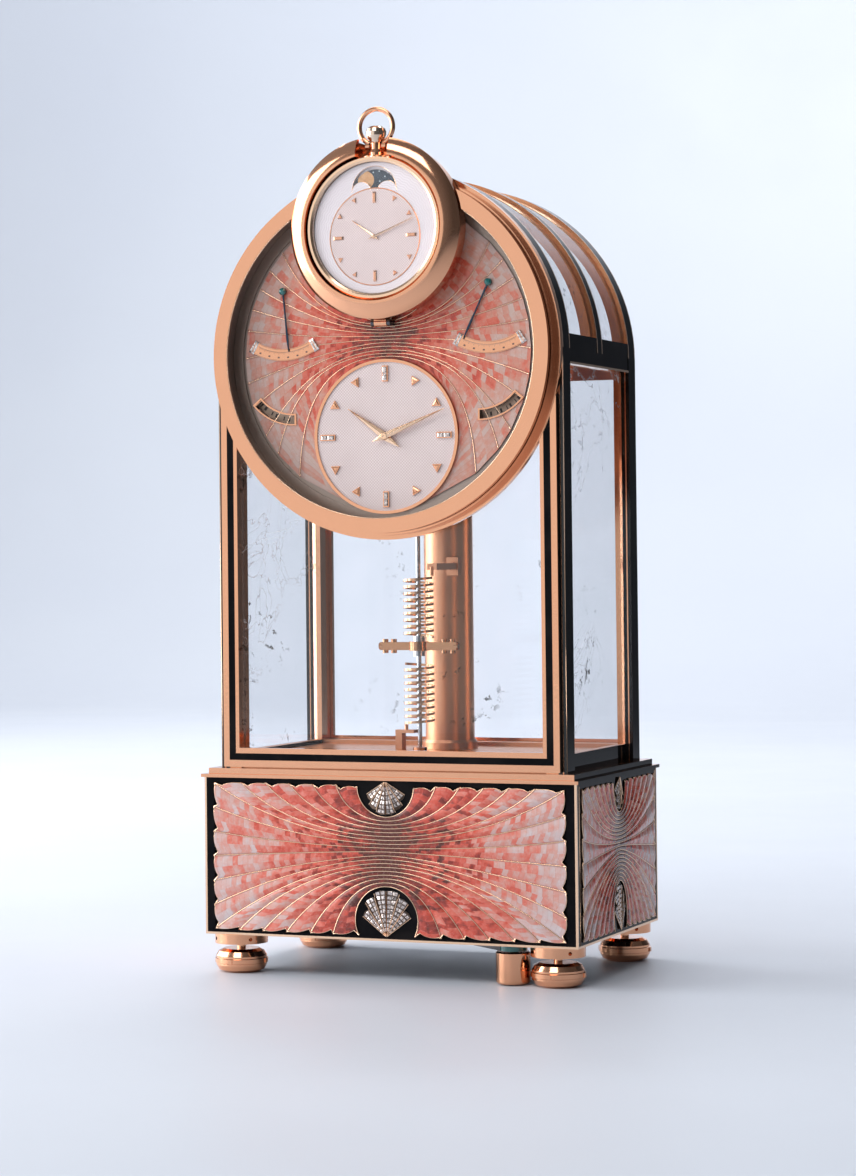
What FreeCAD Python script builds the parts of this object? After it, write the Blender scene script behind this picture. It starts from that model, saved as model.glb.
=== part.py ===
"""Mantel anniversary clock with a removable pocket watch, one solid per physical piece.

Units are millimetres. +X is to the right seen from the front, +Y points to the back and
+Z is up. Depths are worked out from the middle of the plinth, and every piece is moved at
the end so that the origin lies at the bottom centre of the whole clock.
"""
import FreeCAD
import Part
import math
import os

Vec = FreeCAD.Vector
ALONG_X = Vec(1, 0, 0)
ALONG_Y = Vec(0, 1, 0)
ALONG_Z = Vec(0, 0, 1)

# ---- driving dimensions ----------------------------------------------------------------
# plinth
PLINTH_HALF_W = 72.5
PLINTH_HALF_D = 46.5
PLINTH_BOTTOM = 14.3
PLINTH_TOP = 72.1
SLAB = 5.0                     # thickness of the onyx slabs
TRIM = 0.8                     # width of the gold corner and edge lines
PANEL_MARGIN_X = 3.9
PANEL_MARGIN_Y = 4.5
PANEL_BOTTOM = 16.2
PANEL_TOP = 70.3
PANEL_THICK = 1.2
PANEL_PROUD = 0.5
LOWER_NOTCH_R = 12.2
LOWER_NOTCH_Z = 21.8
UPPER_NOTCH_R = 11.0
UPPER_NOTCH_Z = 70.0
SIDE_SQUEEZE = 0.62            # the side panels repeat the front ones, this much narrower
LEDGE_TOP = 73.3
LEDGE_OVERHANG = 1.0
STEP_TOP = 75.4
STEP_INSET = 1.2

# feet and transport lock
FOOT_X = 62.0
FOOT_Y = 38.0
FLANGE_R = 9.8
FLANGE_BOTTOM = 10.7
KNOB_TOP = 8.6
KNOB_R = 9.4
STEM_R = 1.6
STEM_TOP = 24.0
RUN_GAP = 0.05                 # radial running clearance of every turning fit
LOCK_X = 45.4
LOCK_Y = -39.0
LOCK_R = 6.2
LOCK_HEAD = (-3.0, 3.0)

# glazed case
CASE_HALF_W = 67.6
CASE_HALF_D = 41.6
POST = 8.0                     # square corner posts
CLADDING = 0.6
CASE_FLOOR_TOP = 80.0
SPRING_Z = 226.6               # height of the roof's centre line and of the drum
BEAM_BOTTOM = 222.0
BEAM_TOP = 232.0
FRAME_FRONT = -44.0
FRAME_HALF_W = 65.6
FRAME_BAR = 6.3
FRAME_BOTTOM = 75.9
FRAME_CHANNEL = (2.3, 4.9)     # black inlay, measured in from the frame's outer edge
FRAME_CHANNEL_DEPTH = 1.0
PANE = 3.0
ROOF_PANE_R = 66.2
MID_ARCH_HALF = 3.0

# drum and dial
DRUM_R = 66.0
DRUM_BORE = 61.0
DRUM_RING_R = 67.6
BEZEL_R = 65.2
BEZEL_BORE = 60.0
BEZEL_FRONT = -50.5
BEZEL_BACK = -48.5
GROOVE = 0.6
DIAL_FRONT = -42.2
DIAL_BACK = -41.6
INLAY_R = 57.0
PLATE_BACK = -40.0
HOUSING_R = 59.4
HOUSING_STEP_1 = -24.0
HOUSING_R_2 = 48.0
HOUSING_STEP_2 = -4.0
HOUSING_R_3 = 36.0
HOUSING_BACK = 28.0
HOUSING_WALL = 0.8

# time dial
TIME_Z = 196.5
TIME_R = 28.1
TIME_FACE = -42.8
MARKER_R = 22.8
HOUR_ANGLE = 305.7
MINUTE_ANGLE = 68.0

# sector gauges and calendar windows, mirrored left and right
GAUGE_X = 40.3
GAUGE_Z = 250.8
GAUGE_SCALE = (21.2, 25.5)
GAUGE_SPAN = 33.0
RESERVE_ANGLE = 174.6
EQUATION_ANGLE = 206.0
CALENDAR_X = 36.3
CALENDAR_Z = 223.3
CALENDAR_WINDOW = (18.2, 21.4)
CALENDAR_SPAN = 48.0
CALENDAR_DISC_R = 22.0

# watch cradle and pocket watch
WATCH_Z = 271.5
CRADLE_R = 32.9
CRADLE_BARREL_R = 31.8
CRADLE_EDGE = -51.6
CRADLE_CREST = (29.9, -53.75)
CRADLE_FLOOR = 1.4
CRADLE_BORE = 26.5
CRADLE_FRONT = -54.5
CRADLE_BACK = -42.8
CRADLE_GAP = 0.6
SLOT_HALF = 6.2
HINGE_Y = -46.0
HINGE_Z = 237.6
WATCH_R = 26.2
WATCH_BEZEL_FRONT = -53.4
WATCH_BEZEL_BORE = 23.8
WATCH_DIAL_FRONT = -51.2
WATCH_HANDS_Z = 268.3
MOON_Z = 283.6
MOON_DISC_R = 9.0
PENDANT_Y = -49.0
BOW_Z = 308.2
BOW_R = 6.5
BOW_WIRE = 0.9
BOW_PIVOT_Z = 301.4

# balance and column
STAFF_Y = -12.0
STAFF_R = 0.85
STAFF_TOP = 186.8
BAR_Z = 119.6
BAR_HALF = 15.2
SPRING_R = 5.7
SPRING_PITCH = 2.45
SPRING_TURNS = 9
UPPER_SPRING_Z = 122.9
LOWER_SPRING_Z = 91.0
COLUMN_Y = 19.0
COLUMN_R = 9.3
UPPER_BRACKET_Z = 149.0

# movement: wheel centres are stepped off from the dial's centre
FRONT_PLATE = (-37.0, -35.6)
REAR_PLATE = (-16.0, -14.6)
FRONT_PLATE_R = 57.0
REAR_PLATE_R = 46.0
ARBOR_R = 0.9
WINDER_R = 1.6

REAR_DOOR_BACK = 44.2
DOOR_KNOB_END = 48.4
DOOR_HINGE_X = -66.9
DOOR_HINGE_Y = 44.4

# the clock's foremost and rearmost points set how far everything is moved in depth
DEPTH_SHIFT = -(CRADLE_FRONT + DOOR_KNOB_END) / 2


# ---- shape helpers -----------------------------------------------------------------------
def block(x0, x1, y0, y1, z0, z1):
    """Box between two opposite corners."""
    return Part.makeBox(x1 - x0, y1 - y0, z1 - z0, Vec(x0, y0, z0))


def disc(radius, y0, y1, x=0.0, z=SPRING_Z):
    """Round plate facing the front, from depth y0 to y1."""
    return Part.makeCylinder(radius, y1 - y0, Vec(x, y0, z), ALONG_Y)


def ring(outer, inner, y0, y1, x=0.0, z=SPRING_Z):
    """Flat ring facing the front."""
    return disc(outer, y0, y1, x, z).cut(disc(inner, y0 - 1, y1 + 1, x, z))


def rod(radius, z0, z1, x=0.0, y=0.0):
    """Upright cylinder."""
    return Part.makeCylinder(radius, z1 - z0, Vec(x, y, z0), ALONG_Z)


def turned(profile, x=0.0, y=0.0):
    """Upright turned piece from (radius, height) points that start and end on its axis."""
    points = [Vec(x + radius, y, height) for radius, height in profile]
    face = Part.Face(Part.makePolygon(points + points[:1]))
    return face.revolve(Vec(x, y, 0), ALONG_Z, 360)


def turned_facing(profile, x, z):
    """Turned piece whose axis runs front to back, from (radius, depth) points."""
    points = [Vec(x + radius, depth, z) for radius, depth in profile]
    face = Part.Face(Part.makePolygon(points + points[:1]))
    return face.revolve(Vec(x, 0, z), ALONG_Y, 360)


def plate(outline, y0, y1):
    """Flat plate from (x, z) points."""
    points = [Vec(x, y0, z) for x, z in outline]
    return Part.Face(Part.makePolygon(points + points[:1])).extrude(Vec(0, y1 - y0, 0))


def dial_point(angle, radius, x=0.0, z=0.0):
    """Point on a dial, with the angle clockwise from twelve o'clock."""
    turn = math.radians(angle)
    return x + radius * math.sin(turn), z + radius * math.cos(turn)


def turn_about_dial(shape, angle, x, z):
    """Turn a shape clockwise, as seen from the front, about a point on the dial."""
    shape.rotate(Vec(x, 0, z), ALONG_Y, angle)
    return shape


def sector(inner, outer, start, end, y0, y1, x, z):
    """Part of a flat ring between two clockwise angles."""
    arcs = []
    middle = (start + end) / 2
    for radius in (inner, outer):
        corners = [dial_point(angle, radius, x, z) for angle in (start, middle, end)]
        arcs.append(Part.Arc(*[Vec(cx, y0, cz) for cx, cz in corners]).toShape())
    lines = []
    for angle in (start, end):
        ends = [Vec(px, y0, pz) for px, pz in
                (dial_point(angle, inner, x, z), dial_point(angle, outer, x, z))]
        lines.append(Part.makeLine(*ends))
    wire = Part.Wire(Part.__sortEdges__(arcs + lines))
    return Part.Face(wire).extrude(Vec(0, y1 - y0, 0))


def fused(*shapes):
    """Join shapes into one solid."""
    return shapes[0].multiFuse(list(shapes[1:])).removeSplitter()


def bored(shape, *holes):
    """Take every hole out of a shape."""
    for hole in holes:
        shape = shape.cut(hole)
    return shape


def group(shapes):
    """Separate solids that share one node."""
    return Part.makeCompound([solid for shape in shapes for solid in shape.Solids])


def mirrored(shape):
    """The shape with its mirror image on the other side of the clock."""
    return [shape, shape.mirror(Vec(0, 0, 0), ALONG_X)]


def at_four_corners(make, half_x, half_y):
    """One solid at each corner of a rectangle about the plinth's middle."""
    return group([make(sx * half_x, sy * half_y) for sx in (-1, 1) for sy in (-1, 1)])


def toothed_wheel(teeth, module, y0, y1, centre, phase=0.0, addendum=0.9):
    """Clock wheel with slender teeth; one tooth points along the phase angle."""
    pitch = 360.0 / teeth
    root = module * teeth / 2 - 1.3 * module
    tip = module * teeth / 2 + addendum * module
    outline = []
    for tooth in range(teeth):
        middle = phase + tooth * pitch
        outline.append(dial_point(middle - 0.24 * pitch, root, *centre))
        outline.append(dial_point(middle - 0.10 * pitch, tip, *centre))
        outline.append(dial_point(middle + 0.10 * pitch, tip, *centre))
        outline.append(dial_point(middle + 0.24 * pitch, root, *centre))
    return plate(outline, y0, y1)


def crossed_out(wheel, hub, rim, y0, y1, centre, spokes=4):
    """Lighten a wheel by cutting the spaces between its spokes."""
    gap = 360.0 / spokes
    for spoke in range(spokes):
        start = spoke * gap + 14.0
        wheel = wheel.cut(sector(hub, rim, start, start + gap - 28.0, y0 - 1, y1 + 1, *centre))
    return wheel


# ---- movement layout ---------------------------------------------------------------------
CENTRE = (0.0, TIME_Z)
TRAIN_MODULE = 0.5
BARREL_TEETH = 80
INTERMEDIATE_LEAVES = 10
INTERMEDIATE_TEETH = 60
CENTRE_LEAVES = 12
CENTRE_MODULE = 0.45
CENTRE_TEETH = 64
THIRD_LEAVES = 8
THIRD_MODULE = 0.4
THIRD_TEETH = 60
ESCAPE_LEAVES = 8
ESCAPE_MODULE = 0.35
CANNON_LEAVES = 12
MINUTE_TEETH = 36
MINUTE_LEAVES = 10
HOUR_TEETH = 40
HOUR_MODULE = 0.48


def mesh_distance(module, teeth, leaves):
    """Distance between the centres of a wheel and its pinion."""
    return module * (teeth + leaves) / 2


INTERMEDIATE_DIRECTION = 60.0
THIRD_DIRECTION = 257.8
ESCAPE_DIRECTION = -9.2
MINUTE_DIRECTION = 150.0
INTERMEDIATE = dial_point(INTERMEDIATE_DIRECTION,
                          mesh_distance(CENTRE_MODULE, INTERMEDIATE_TEETH, CENTRE_LEAVES), *CENTRE)
BARREL_DISTANCE = mesh_distance(TRAIN_MODULE, BARREL_TEETH, INTERMEDIATE_LEAVES)
BARREL_RISE = math.sqrt(BARREL_DISTANCE ** 2 - INTERMEDIATE[0] ** 2)
BARREL = (0.0, INTERMEDIATE[1] + BARREL_RISE)
BARREL_DIRECTION = -math.degrees(math.atan2(INTERMEDIATE[0], BARREL_RISE))
THIRD = dial_point(THIRD_DIRECTION,
                   mesh_distance(THIRD_MODULE, CENTRE_TEETH, THIRD_LEAVES), *CENTRE)
ESCAPE = dial_point(ESCAPE_DIRECTION,
                    mesh_distance(ESCAPE_MODULE, THIRD_TEETH, ESCAPE_LEAVES), *THIRD)
MINUTE_WHEEL = dial_point(MINUTE_DIRECTION,
                          mesh_distance(TRAIN_MODULE, MINUTE_TEETH, CANNON_LEAVES), *CENTRE)
LEVER_DIRECTION = 135.4         # from the escape wheel down to the balance staff
LEVER_PIVOT = dial_point(LEVER_DIRECTION, 8.5, *ESCAPE)


def opposite_gap(direction, teeth):
    """Phase that puts a gap, not a tooth, back towards the wheel it meshes with."""
    return direction + 180.0 + 180.0 / teeth


# ---- plinth ------------------------------------------------------------------------------
def upright_cylinder_y(radius, squeeze, half_depth, z):
    """Notch cutter: a round or squeezed cylinder along Y."""
    cutter = Part.makeCylinder(radius, 2 * half_depth, Vec(0, -half_depth, 0), ALONG_Y)
    if squeeze != 1.0:
        matrix = FreeCAD.Matrix()
        matrix.scale(squeeze, 1, 1)
        cutter = cutter.transformGeometry(matrix)
    cutter.translate(Vec(0, 0, z))
    return cutter


def flat_panel(half_width, squeeze):
    """Shell panel facing the front, with its two round notches, its back at depth 0."""
    panel = block(-half_width, half_width, -PANEL_THICK, 0, PANEL_BOTTOM, PANEL_TOP)
    return bored(panel, upright_cylinder_y(LOWER_NOTCH_R, squeeze, 5, LOWER_NOTCH_Z),
                 upright_cylinder_y(UPPER_NOTCH_R, squeeze, 5, UPPER_NOTCH_Z))


def flat_fan(squeeze):
    """Pair of ribbed fan ornaments facing the front, their backs at depth 0."""
    upper = [(-7.1, 68.3), (-6.6, 63.8), (-4.0, 61.2), (0, 59.9), (4.0, 61.2), (6.6, 63.8), (7.1, 68.3),
             (0, 71.9)]
    lower = [(-8.8, 25.4), (-6.4, 30.4), (0, 32.4), (6.4, 30.4), (8.8, 25.4), (5.0, 19.4), (0, 15.8)]
    fans = []
    for outline in (upper, lower):
        fans.append(plate([(x * squeeze, z) for x, z in outline], -0.9, 0))
    return fans


def on_four_sides(front_shapes, side_shapes, proud):
    """Set flat pieces on the plinth's front and back, and others on its two sides."""
    placed = []
    for shapes, distance, turns in ((front_shapes, PLINTH_HALF_D, (0, 180)),
                                    (side_shapes, PLINTH_HALF_W, (90, -90))):
        for shape in shapes:
            for turn in turns:
                copy = shape.copy()
                copy.translate(Vec(0, -distance + proud, 0))
                copy.rotate(Vec(0, 0, 0), ALONG_Z, turn)
                placed.append(copy)
    return placed


def shell_panel_solids():
    front = flat_panel(PLINTH_HALF_W - PANEL_MARGIN_X, 1.0)
    side = flat_panel(PLINTH_HALF_D - PANEL_MARGIN_Y, SIDE_SQUEEZE)
    return on_four_sides([front], [side], PANEL_THICK - PANEL_PROUD)


def shell_panels():
    return group(shell_panel_solids())


def fan_ornaments():
    return group(on_four_sides(flat_fan(1.0), flat_fan(0.9 * SIDE_SQUEEZE), 0))


def corner_trim_blocks():
    """Gold L-shaped lines let into the plinth's upright corners."""
    lines = []
    for sx in (-1, 1):
        for sy in (-1, 1):
            x_edge = sx * PLINTH_HALF_W
            y_edge = sy * PLINTH_HALF_D
            lines.append(block(min(x_edge, x_edge - sx * TRIM), max(x_edge, x_edge - sx * TRIM),
                               min(y_edge, y_edge - sy * TRIM), max(y_edge, y_edge - sy * TRIM),
                               PLINTH_BOTTOM + TRIM, PLINTH_TOP))
    return lines


def lower_edge_blocks():
    """Gold lines along the plinth's lower edges."""
    top = PLINTH_BOTTOM + TRIM
    lines = []
    for sign in (-1, 1):
        y_edge = sign * PLINTH_HALF_D
        x_edge = sign * PLINTH_HALF_W
        lines.append(block(-PLINTH_HALF_W, PLINTH_HALF_W, min(y_edge, y_edge - sign * TRIM),
                           max(y_edge, y_edge - sign * TRIM), PLINTH_BOTTOM, top))
        lines.append(block(min(x_edge, x_edge - sign * TRIM), max(x_edge, x_edge - sign * TRIM),
                           TRIM - PLINTH_HALF_D, PLINTH_HALF_D - TRIM, PLINTH_BOTTOM, top))
    return lines


def plinth_slabs():
    inner_w = PLINTH_HALF_W - SLAB
    inner_d = PLINTH_HALF_D - SLAB
    cutters = shell_panel_solids() + corner_trim_blocks() + lower_edge_blocks()
    slabs = []
    for sign in (-1, 1):
        y0, y1 = sorted((sign * inner_d, sign * PLINTH_HALF_D))
        slabs.append(block(-PLINTH_HALF_W, PLINTH_HALF_W, y0, y1, PLINTH_BOTTOM, PLINTH_TOP))
        x0, x1 = sorted((sign * inner_w, sign * PLINTH_HALF_W))
        slabs.append(block(x0, x1, -inner_d, inner_d, PLINTH_BOTTOM, PLINTH_TOP))
    return group([bored(slab, *cutters) for slab in slabs])


def gold_trims():
    """Thin gold lines of the plinth, the arches and the roof beams."""
    lines = corner_trim_blocks() + lower_edge_blocks()
    for y0, y1 in arch_bays():
        for edge in ((y0, y0 + TRIM), (y1 - TRIM, y1)):
            lines.append(half_ring(CASE_HALF_W, CASE_HALF_W - POST, *edge))
    inner_d = CASE_HALF_D - POST
    lines += mirrored(block(CASE_HALF_W - 4.4, CASE_HALF_W, -inner_d, inner_d,
                            BEAM_BOTTOM - TRIM, BEAM_BOTTOM))
    return group(lines)


def plinth_floor():
    plate_solid = block(SLAB - PLINTH_HALF_W, PLINTH_HALF_W - SLAB, SLAB - PLINTH_HALF_D,
                        PLINTH_HALF_D - SLAB, PLINTH_BOTTOM, PLINTH_BOTTOM + 3)
    holes = [rod(STEM_R + RUN_GAP, 0, 30, sx * FOOT_X, sy * FOOT_Y)
             for sx in (-1, 1) for sy in (-1, 1)]
    holes.append(rod(2.0 + RUN_GAP, 0, 30, LOCK_X, LOCK_Y))
    return bored(plate_solid, *holes)


def plinth_mouldings():
    """Overhanging ledge and the step above it, on which the case stands."""
    ledge_w = PLINTH_HALF_W + LEDGE_OVERHANG
    ledge_d = PLINTH_HALF_D + LEDGE_OVERHANG
    step_w = PLINTH_HALF_W - STEP_INSET
    step_d = PLINTH_HALF_D - STEP_INSET
    return group([block(-ledge_w, ledge_w, -ledge_d, ledge_d, PLINTH_TOP, LEDGE_TOP),
                  block(-step_w, step_w, -step_d, step_d, LEDGE_TOP, STEP_TOP)])


def foot_flange(x, y):
    flange = rod(FLANGE_R, FLANGE_BOTTOM, PLINTH_BOTTOM, x, y)
    height = (FLANGE_BOTTOM + PLINTH_BOTTOM) / 2
    holes = [rod(STEM_R + RUN_GAP, 0, 30, x, y)]
    for number in range(4):
        turn = math.radians(45 + 90 * number)
        outward = Vec(math.cos(turn), math.sin(turn), 0)
        start = Vec(x, y, height) + outward * (FLANGE_R - 2.5)
        holes.append(Part.makeCylinder(0.7, 4, start, outward))
    return bored(flange, *holes)


def foot_flanges():
    return at_four_corners(foot_flange, FOOT_X, FOOT_Y)


def foot_screw(x, y):
    """Levelling knob with its screw stem."""
    knob = turned([(0, 0), (6.6, 0), (8.4, 0.9), (KNOB_R, 2.6), (KNOB_R, 3.3), (9.8, 3.5),
                   (9.8, 5.1), (KNOB_R, 5.3), (KNOB_R, 6.0), (8.4, 7.7), (6.6, KNOB_TOP),
                   (STEM_R, KNOB_TOP), (STEM_R, STEM_TOP), (0, STEM_TOP)], x, y)
    lugs = []
    for number in range(4):
        lug = block(8.0, 10.2, -0.7, 0.7, 3.5, 5.1)
        lug.rotate(Vec(0, 0, 0), ALONG_Z, 90 * number)
        lug.translate(Vec(x, y, 0))
        lugs.append(lug)
    return fused(knob, *lugs)


def lock_knob():
    """Knurled knob under the plinth that turns the transport lock."""
    return turned([(0, 0.5), (LOCK_R - 0.6, 0.5), (LOCK_R, 1.1), (LOCK_R, 11.4),
                   (LOCK_R - 0.5, 11.9), (2.0, 11.9), (2.0, 17.2), (0, 17.2)], LOCK_X, LOCK_Y)


def lock_lever():
    """Flat steel lever between knob and plinth, with an eye below the balance staff."""
    head_x, head_y = LOCK_HEAD
    z0, z1 = 12.2, 14.1
    length = math.hypot(head_x - LOCK_X, head_y - LOCK_Y)
    angle = math.degrees(math.atan2(head_y - LOCK_Y, head_x - LOCK_X))
    outline = [Vec(0, -5.2, z0), Vec(length, -7.5, z0), Vec(length, 7.5, z0), Vec(0, 5.2, z0)]
    arm = Part.Face(Part.makePolygon(outline + outline[:1])).extrude(Vec(0, 0, z1 - z0))
    lever = fused(arm, rod(5.2, z0, z1), rod(11.5, z0, z1, length))
    lever = bored(lever, rod(2.0, 0, 30), rod(5.6, 0, 30, length))
    lever.rotate(Vec(0, 0, 0), ALONG_Z, angle)
    lever.translate(Vec(LOCK_X, LOCK_Y, 0))
    return lever


# ---- glazed case -------------------------------------------------------------------------
def case_floor():
    """Floor of the case with the cup that carries the foot of the balance staff."""
    inner_w = CASE_HALF_W - POST
    inner_d = CASE_HALF_D - POST
    floor = block(-inner_w, inner_w, -inner_d, inner_d, STEP_TOP, CASE_FLOOR_TOP)
    rails = []
    for sign in (-1, 1):
        x0, x1 = sorted((sign * inner_w, sign * (CASE_HALF_W - 3)))
        rails.append(block(x0, x1, -inner_d, inner_d, STEP_TOP, CASE_FLOOR_TOP + 1.5))
        y0, y1 = sorted((sign * inner_d, sign * (CASE_HALF_D - 1)))
        rails.append(block(-inner_w, inner_w, y0, y1, STEP_TOP, CASE_FLOOR_TOP + 1.5))
    cup = rod(2.6, CASE_FLOOR_TOP, CASE_FLOOR_TOP + 2.2, 0, STAFF_Y)
    hole = rod(STAFF_R + RUN_GAP, CASE_FLOOR_TOP - 1, CASE_FLOOR_TOP + 5, 0, STAFF_Y)
    return group([fused(floor, cup).cut(hole)] + rails)


def post_cladding_blocks():
    """Onyx strips let into the outer faces of the four posts."""
    strips = []
    y0 = CASE_HALF_D - POST + 0.7
    y1 = CASE_HALF_D - 0.7
    for sy in (-1, 1):
        depth = sorted((sy * y0, sy * y1))
        strips += mirrored(block(CASE_HALF_W - CLADDING, CASE_HALF_W, *depth, STEP_TOP, BEAM_BOTTOM))
    return strips


def corner_posts():
    posts = []
    for sy in (-1, 1):
        depth = sorted((sy * (CASE_HALF_D - POST), sy * CASE_HALF_D))
        posts += mirrored(block(CASE_HALF_W - POST, CASE_HALF_W, *depth, STEP_TOP, SPRING_Z))
    return group([bored(post, *post_cladding_blocks()) for post in posts])


def frame_channels():
    """Black lines let into the front frame's stiles and bottom rail."""
    outer, inner = FRAME_CHANNEL
    y0, y1 = FRAME_FRONT, FRAME_FRONT + FRAME_CHANNEL_DEPTH
    z0 = FRAME_BOTTOM + 2.5
    z1 = FRAME_BOTTOM + 5.0
    stile = block(FRAME_HALF_W - inner, FRAME_HALF_W - outer, y0, y1, z1, SPRING_Z)
    rail = block(outer - FRAME_HALF_W, FRAME_HALF_W - outer, y0, y1, z0, z1)
    clear = disc(DRUM_RING_R + 0.2, -60, -30)
    return [strip.cut(clear) for strip in mirrored(stile)] + [rail]


def onyx_strips():
    return group(post_cladding_blocks() + frame_channels())


def front_frame():
    """Gilt frame round the front opening: two stiles and a bottom rail."""
    inner = FRAME_HALF_W - FRAME_BAR
    rail_top = FRAME_BOTTOM + 7.0
    stile = block(inner, FRAME_HALF_W, FRAME_FRONT, -CASE_HALF_D, rail_top, SPRING_Z)
    rail = block(-FRAME_HALF_W, FRAME_HALF_W, FRAME_FRONT, -CASE_HALF_D, FRAME_BOTTOM, rail_top)
    clear = disc(DRUM_RING_R + 0.1, -60, -30)
    bars = [bar.cut(clear) for bar in mirrored(stile)] + [rail]
    return group([bored(bar, *frame_channels()) for bar in bars])


def case_crystals():
    """Rock-crystal panes of the front and the two sides."""
    inner_w = CASE_HALF_W - POST
    inner_d = CASE_HALF_D - POST
    foot = CASE_FLOOR_TOP + 1.5
    front = block(-inner_w, inner_w, -39.5, -39.5 + PANE, foot, 205.0)
    front = front.cut(disc(HOUSING_R + 0.6, -60, 0))
    side = block(CASE_HALF_W - 6, CASE_HALF_W - 6 + PANE, -inner_d, inner_d, foot, BEAM_BOTTOM - TRIM)
    return group([front] + mirrored(side))


def springer_beams():
    """Onyx beams that join the posts below the roof."""
    inner_d = CASE_HALF_D - POST
    beam = block(CASE_HALF_W - POST, CASE_HALF_W - 0.2, -inner_d, inner_d, BEAM_BOTTOM, BEAM_TOP)
    gap = block(-80, 80, -MID_ARCH_HALF, MID_ARCH_HALF, SPRING_Z, BEAM_TOP + 5)
    return group([solid.cut(gap) for solid in mirrored(beam)])


def arch_bays():
    """Depth range of the front, middle and rear arches."""
    inner_d = CASE_HALF_D - POST
    return ((-CASE_HALF_D, -inner_d), (-MID_ARCH_HALF, MID_ARCH_HALF), (inner_d, CASE_HALF_D))


def half_ring(outer, inner, y0, y1, rise=0.0):
    """Upper half of a ring about the roof's centre line."""
    below = block(-100, 100, y0 - 5, y1 + 5, 0, SPRING_Z + rise)
    return ring(outer, inner, y0, y1).cut(below)


def roof_arches():
    inner = CASE_HALF_W - POST
    return group([half_ring(CASE_HALF_W, inner, y0 + TRIM, y1 - TRIM) for y0, y1 in arch_bays()])


def roof_crystals():
    """Curved panes of the barrel roof and the half-round pane at the back."""
    inner_d = CASE_HALF_D - POST
    rise = BEAM_TOP - SPRING_Z
    panes = [half_ring(ROOF_PANE_R, ROOF_PANE_R - PANE, -inner_d, -MID_ARCH_HALF, rise),
             half_ring(ROOF_PANE_R, ROOF_PANE_R - PANE, MID_ARCH_HALF, inner_d, rise)]
    tympanum = disc(CASE_HALF_W - POST, 36, 36 + PANE)
    tympanum = tympanum.cut(block(-100, 100, 30, 45, 0, SPRING_Z))
    return group(panes + [tympanum])


# ---- rear door ---------------------------------------------------------------------------
def rear_door_frame():
    """Door frame of four bars with its knob and hinge knuckles."""
    y0, y1 = CASE_HALF_D + 0.3, REAR_DOOR_BACK
    left, right = -64.6, 65.2
    bottom, top = 76.4, 225.6
    bars = [block(left, left + FRAME_BAR, y0, y1, bottom, top),
            block(right - FRAME_BAR, right, y0, y1, bottom, top),
            block(left + FRAME_BAR, right - FRAME_BAR, y0, y1, bottom, bottom + FRAME_BAR),
            block(left + FRAME_BAR, right - FRAME_BAR, y0, y1, top - FRAME_BAR, top)]
    for z0, z1 in door_knuckle_heights():
        knuckle = rod(1.3, z0, z1, DOOR_HINGE_X, DOOR_HINGE_Y)
        leaf = block(DOOR_HINGE_X, left, REAR_DOOR_BACK - 0.9, REAR_DOOR_BACK, z0, z1)
        bars[0] = fused(bars[0], knuckle, leaf)
    hole = rod(0.7 + RUN_GAP, 0, 300, DOOR_HINGE_X, DOOR_HINGE_Y)
    bars[0] = bars[0].cut(hole)
    knob = turned_facing([(0, REAR_DOOR_BACK), (1.0, REAR_DOOR_BACK), (1.0, 45.6), (2.4, 46.4),
                          (2.4, 47.6), (1.6, DOOR_KNOB_END), (0, DOOR_KNOB_END)], 61.9, 150.0)
    return group(bars + [knob])


def door_knuckle_heights():
    """Heights of the door's two hinge knuckles."""
    return ((96.0, 102.0), (200.0, 206.0))


def door_hinges():
    """Fixed hinge halves on the left rear post, with their pins."""
    hinges = []
    for z0, z1 in door_knuckle_heights():
        pin = rod(0.7, z0 - 4, z1 + 4, DOOR_HINGE_X, DOOR_HINGE_Y)
        solids = [pin]
        for low, high in ((z0 - 4, z0 - 0.1), (z1 + 0.1, z1 + 4)):
            solids.append(rod(1.3, low, high, DOOR_HINGE_X, DOOR_HINGE_Y))
            solids.append(block(DOOR_HINGE_X - 0.6, DOOR_HINGE_X + 0.6, CASE_HALF_D,
                                DOOR_HINGE_Y, low, high))
        hinges.append(fused(*solids))
    return group(hinges)


def rear_door_crystal():
    """Pane of the rear door, let into a rebate behind the frame bars."""
    return block(-64.6 + FRAME_BAR, 65.2 - FRAME_BAR, CASE_HALF_D + 0.3, REAR_DOOR_BACK - 0.6,
                 76.4 + FRAME_BAR, 225.6 - FRAME_BAR)


# ---- drum --------------------------------------------------------------------------------
def cradle_space():
    """Round space that the watch cradle needs in the drum's front."""
    return disc(CRADLE_R + CRADLE_GAP, -70, DIAL_FRONT, 0, WATCH_Z)


def drum_shell():
    """Gilt band round the dial, with a fine groove behind the bezel."""
    band = ring(DRUM_R, DRUM_BORE, BEZEL_BACK + GROOVE, -CASE_HALF_D)
    neck = ring(BEZEL_R - 1.0, DRUM_BORE, BEZEL_BACK, BEZEL_BACK + GROOVE)
    return fused(band, neck).cut(cradle_space())


def drum_bezel():
    return ring(BEZEL_R, BEZEL_BORE, BEZEL_FRONT, BEZEL_BACK).cut(cradle_space())


def drum_rings():
    """Onyx rings: one round the drum's foot and one bordering the dial."""
    foot = ring(DRUM_RING_R, DRUM_R, FRAME_FRONT, -CASE_HALF_D).cut(cradle_space())
    border = ring(60.9, INLAY_R, DIAL_FRONT, DIAL_BACK).cut(disc(TIME_R, -50, -30, *CENTRE))
    return group([foot, border])


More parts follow.
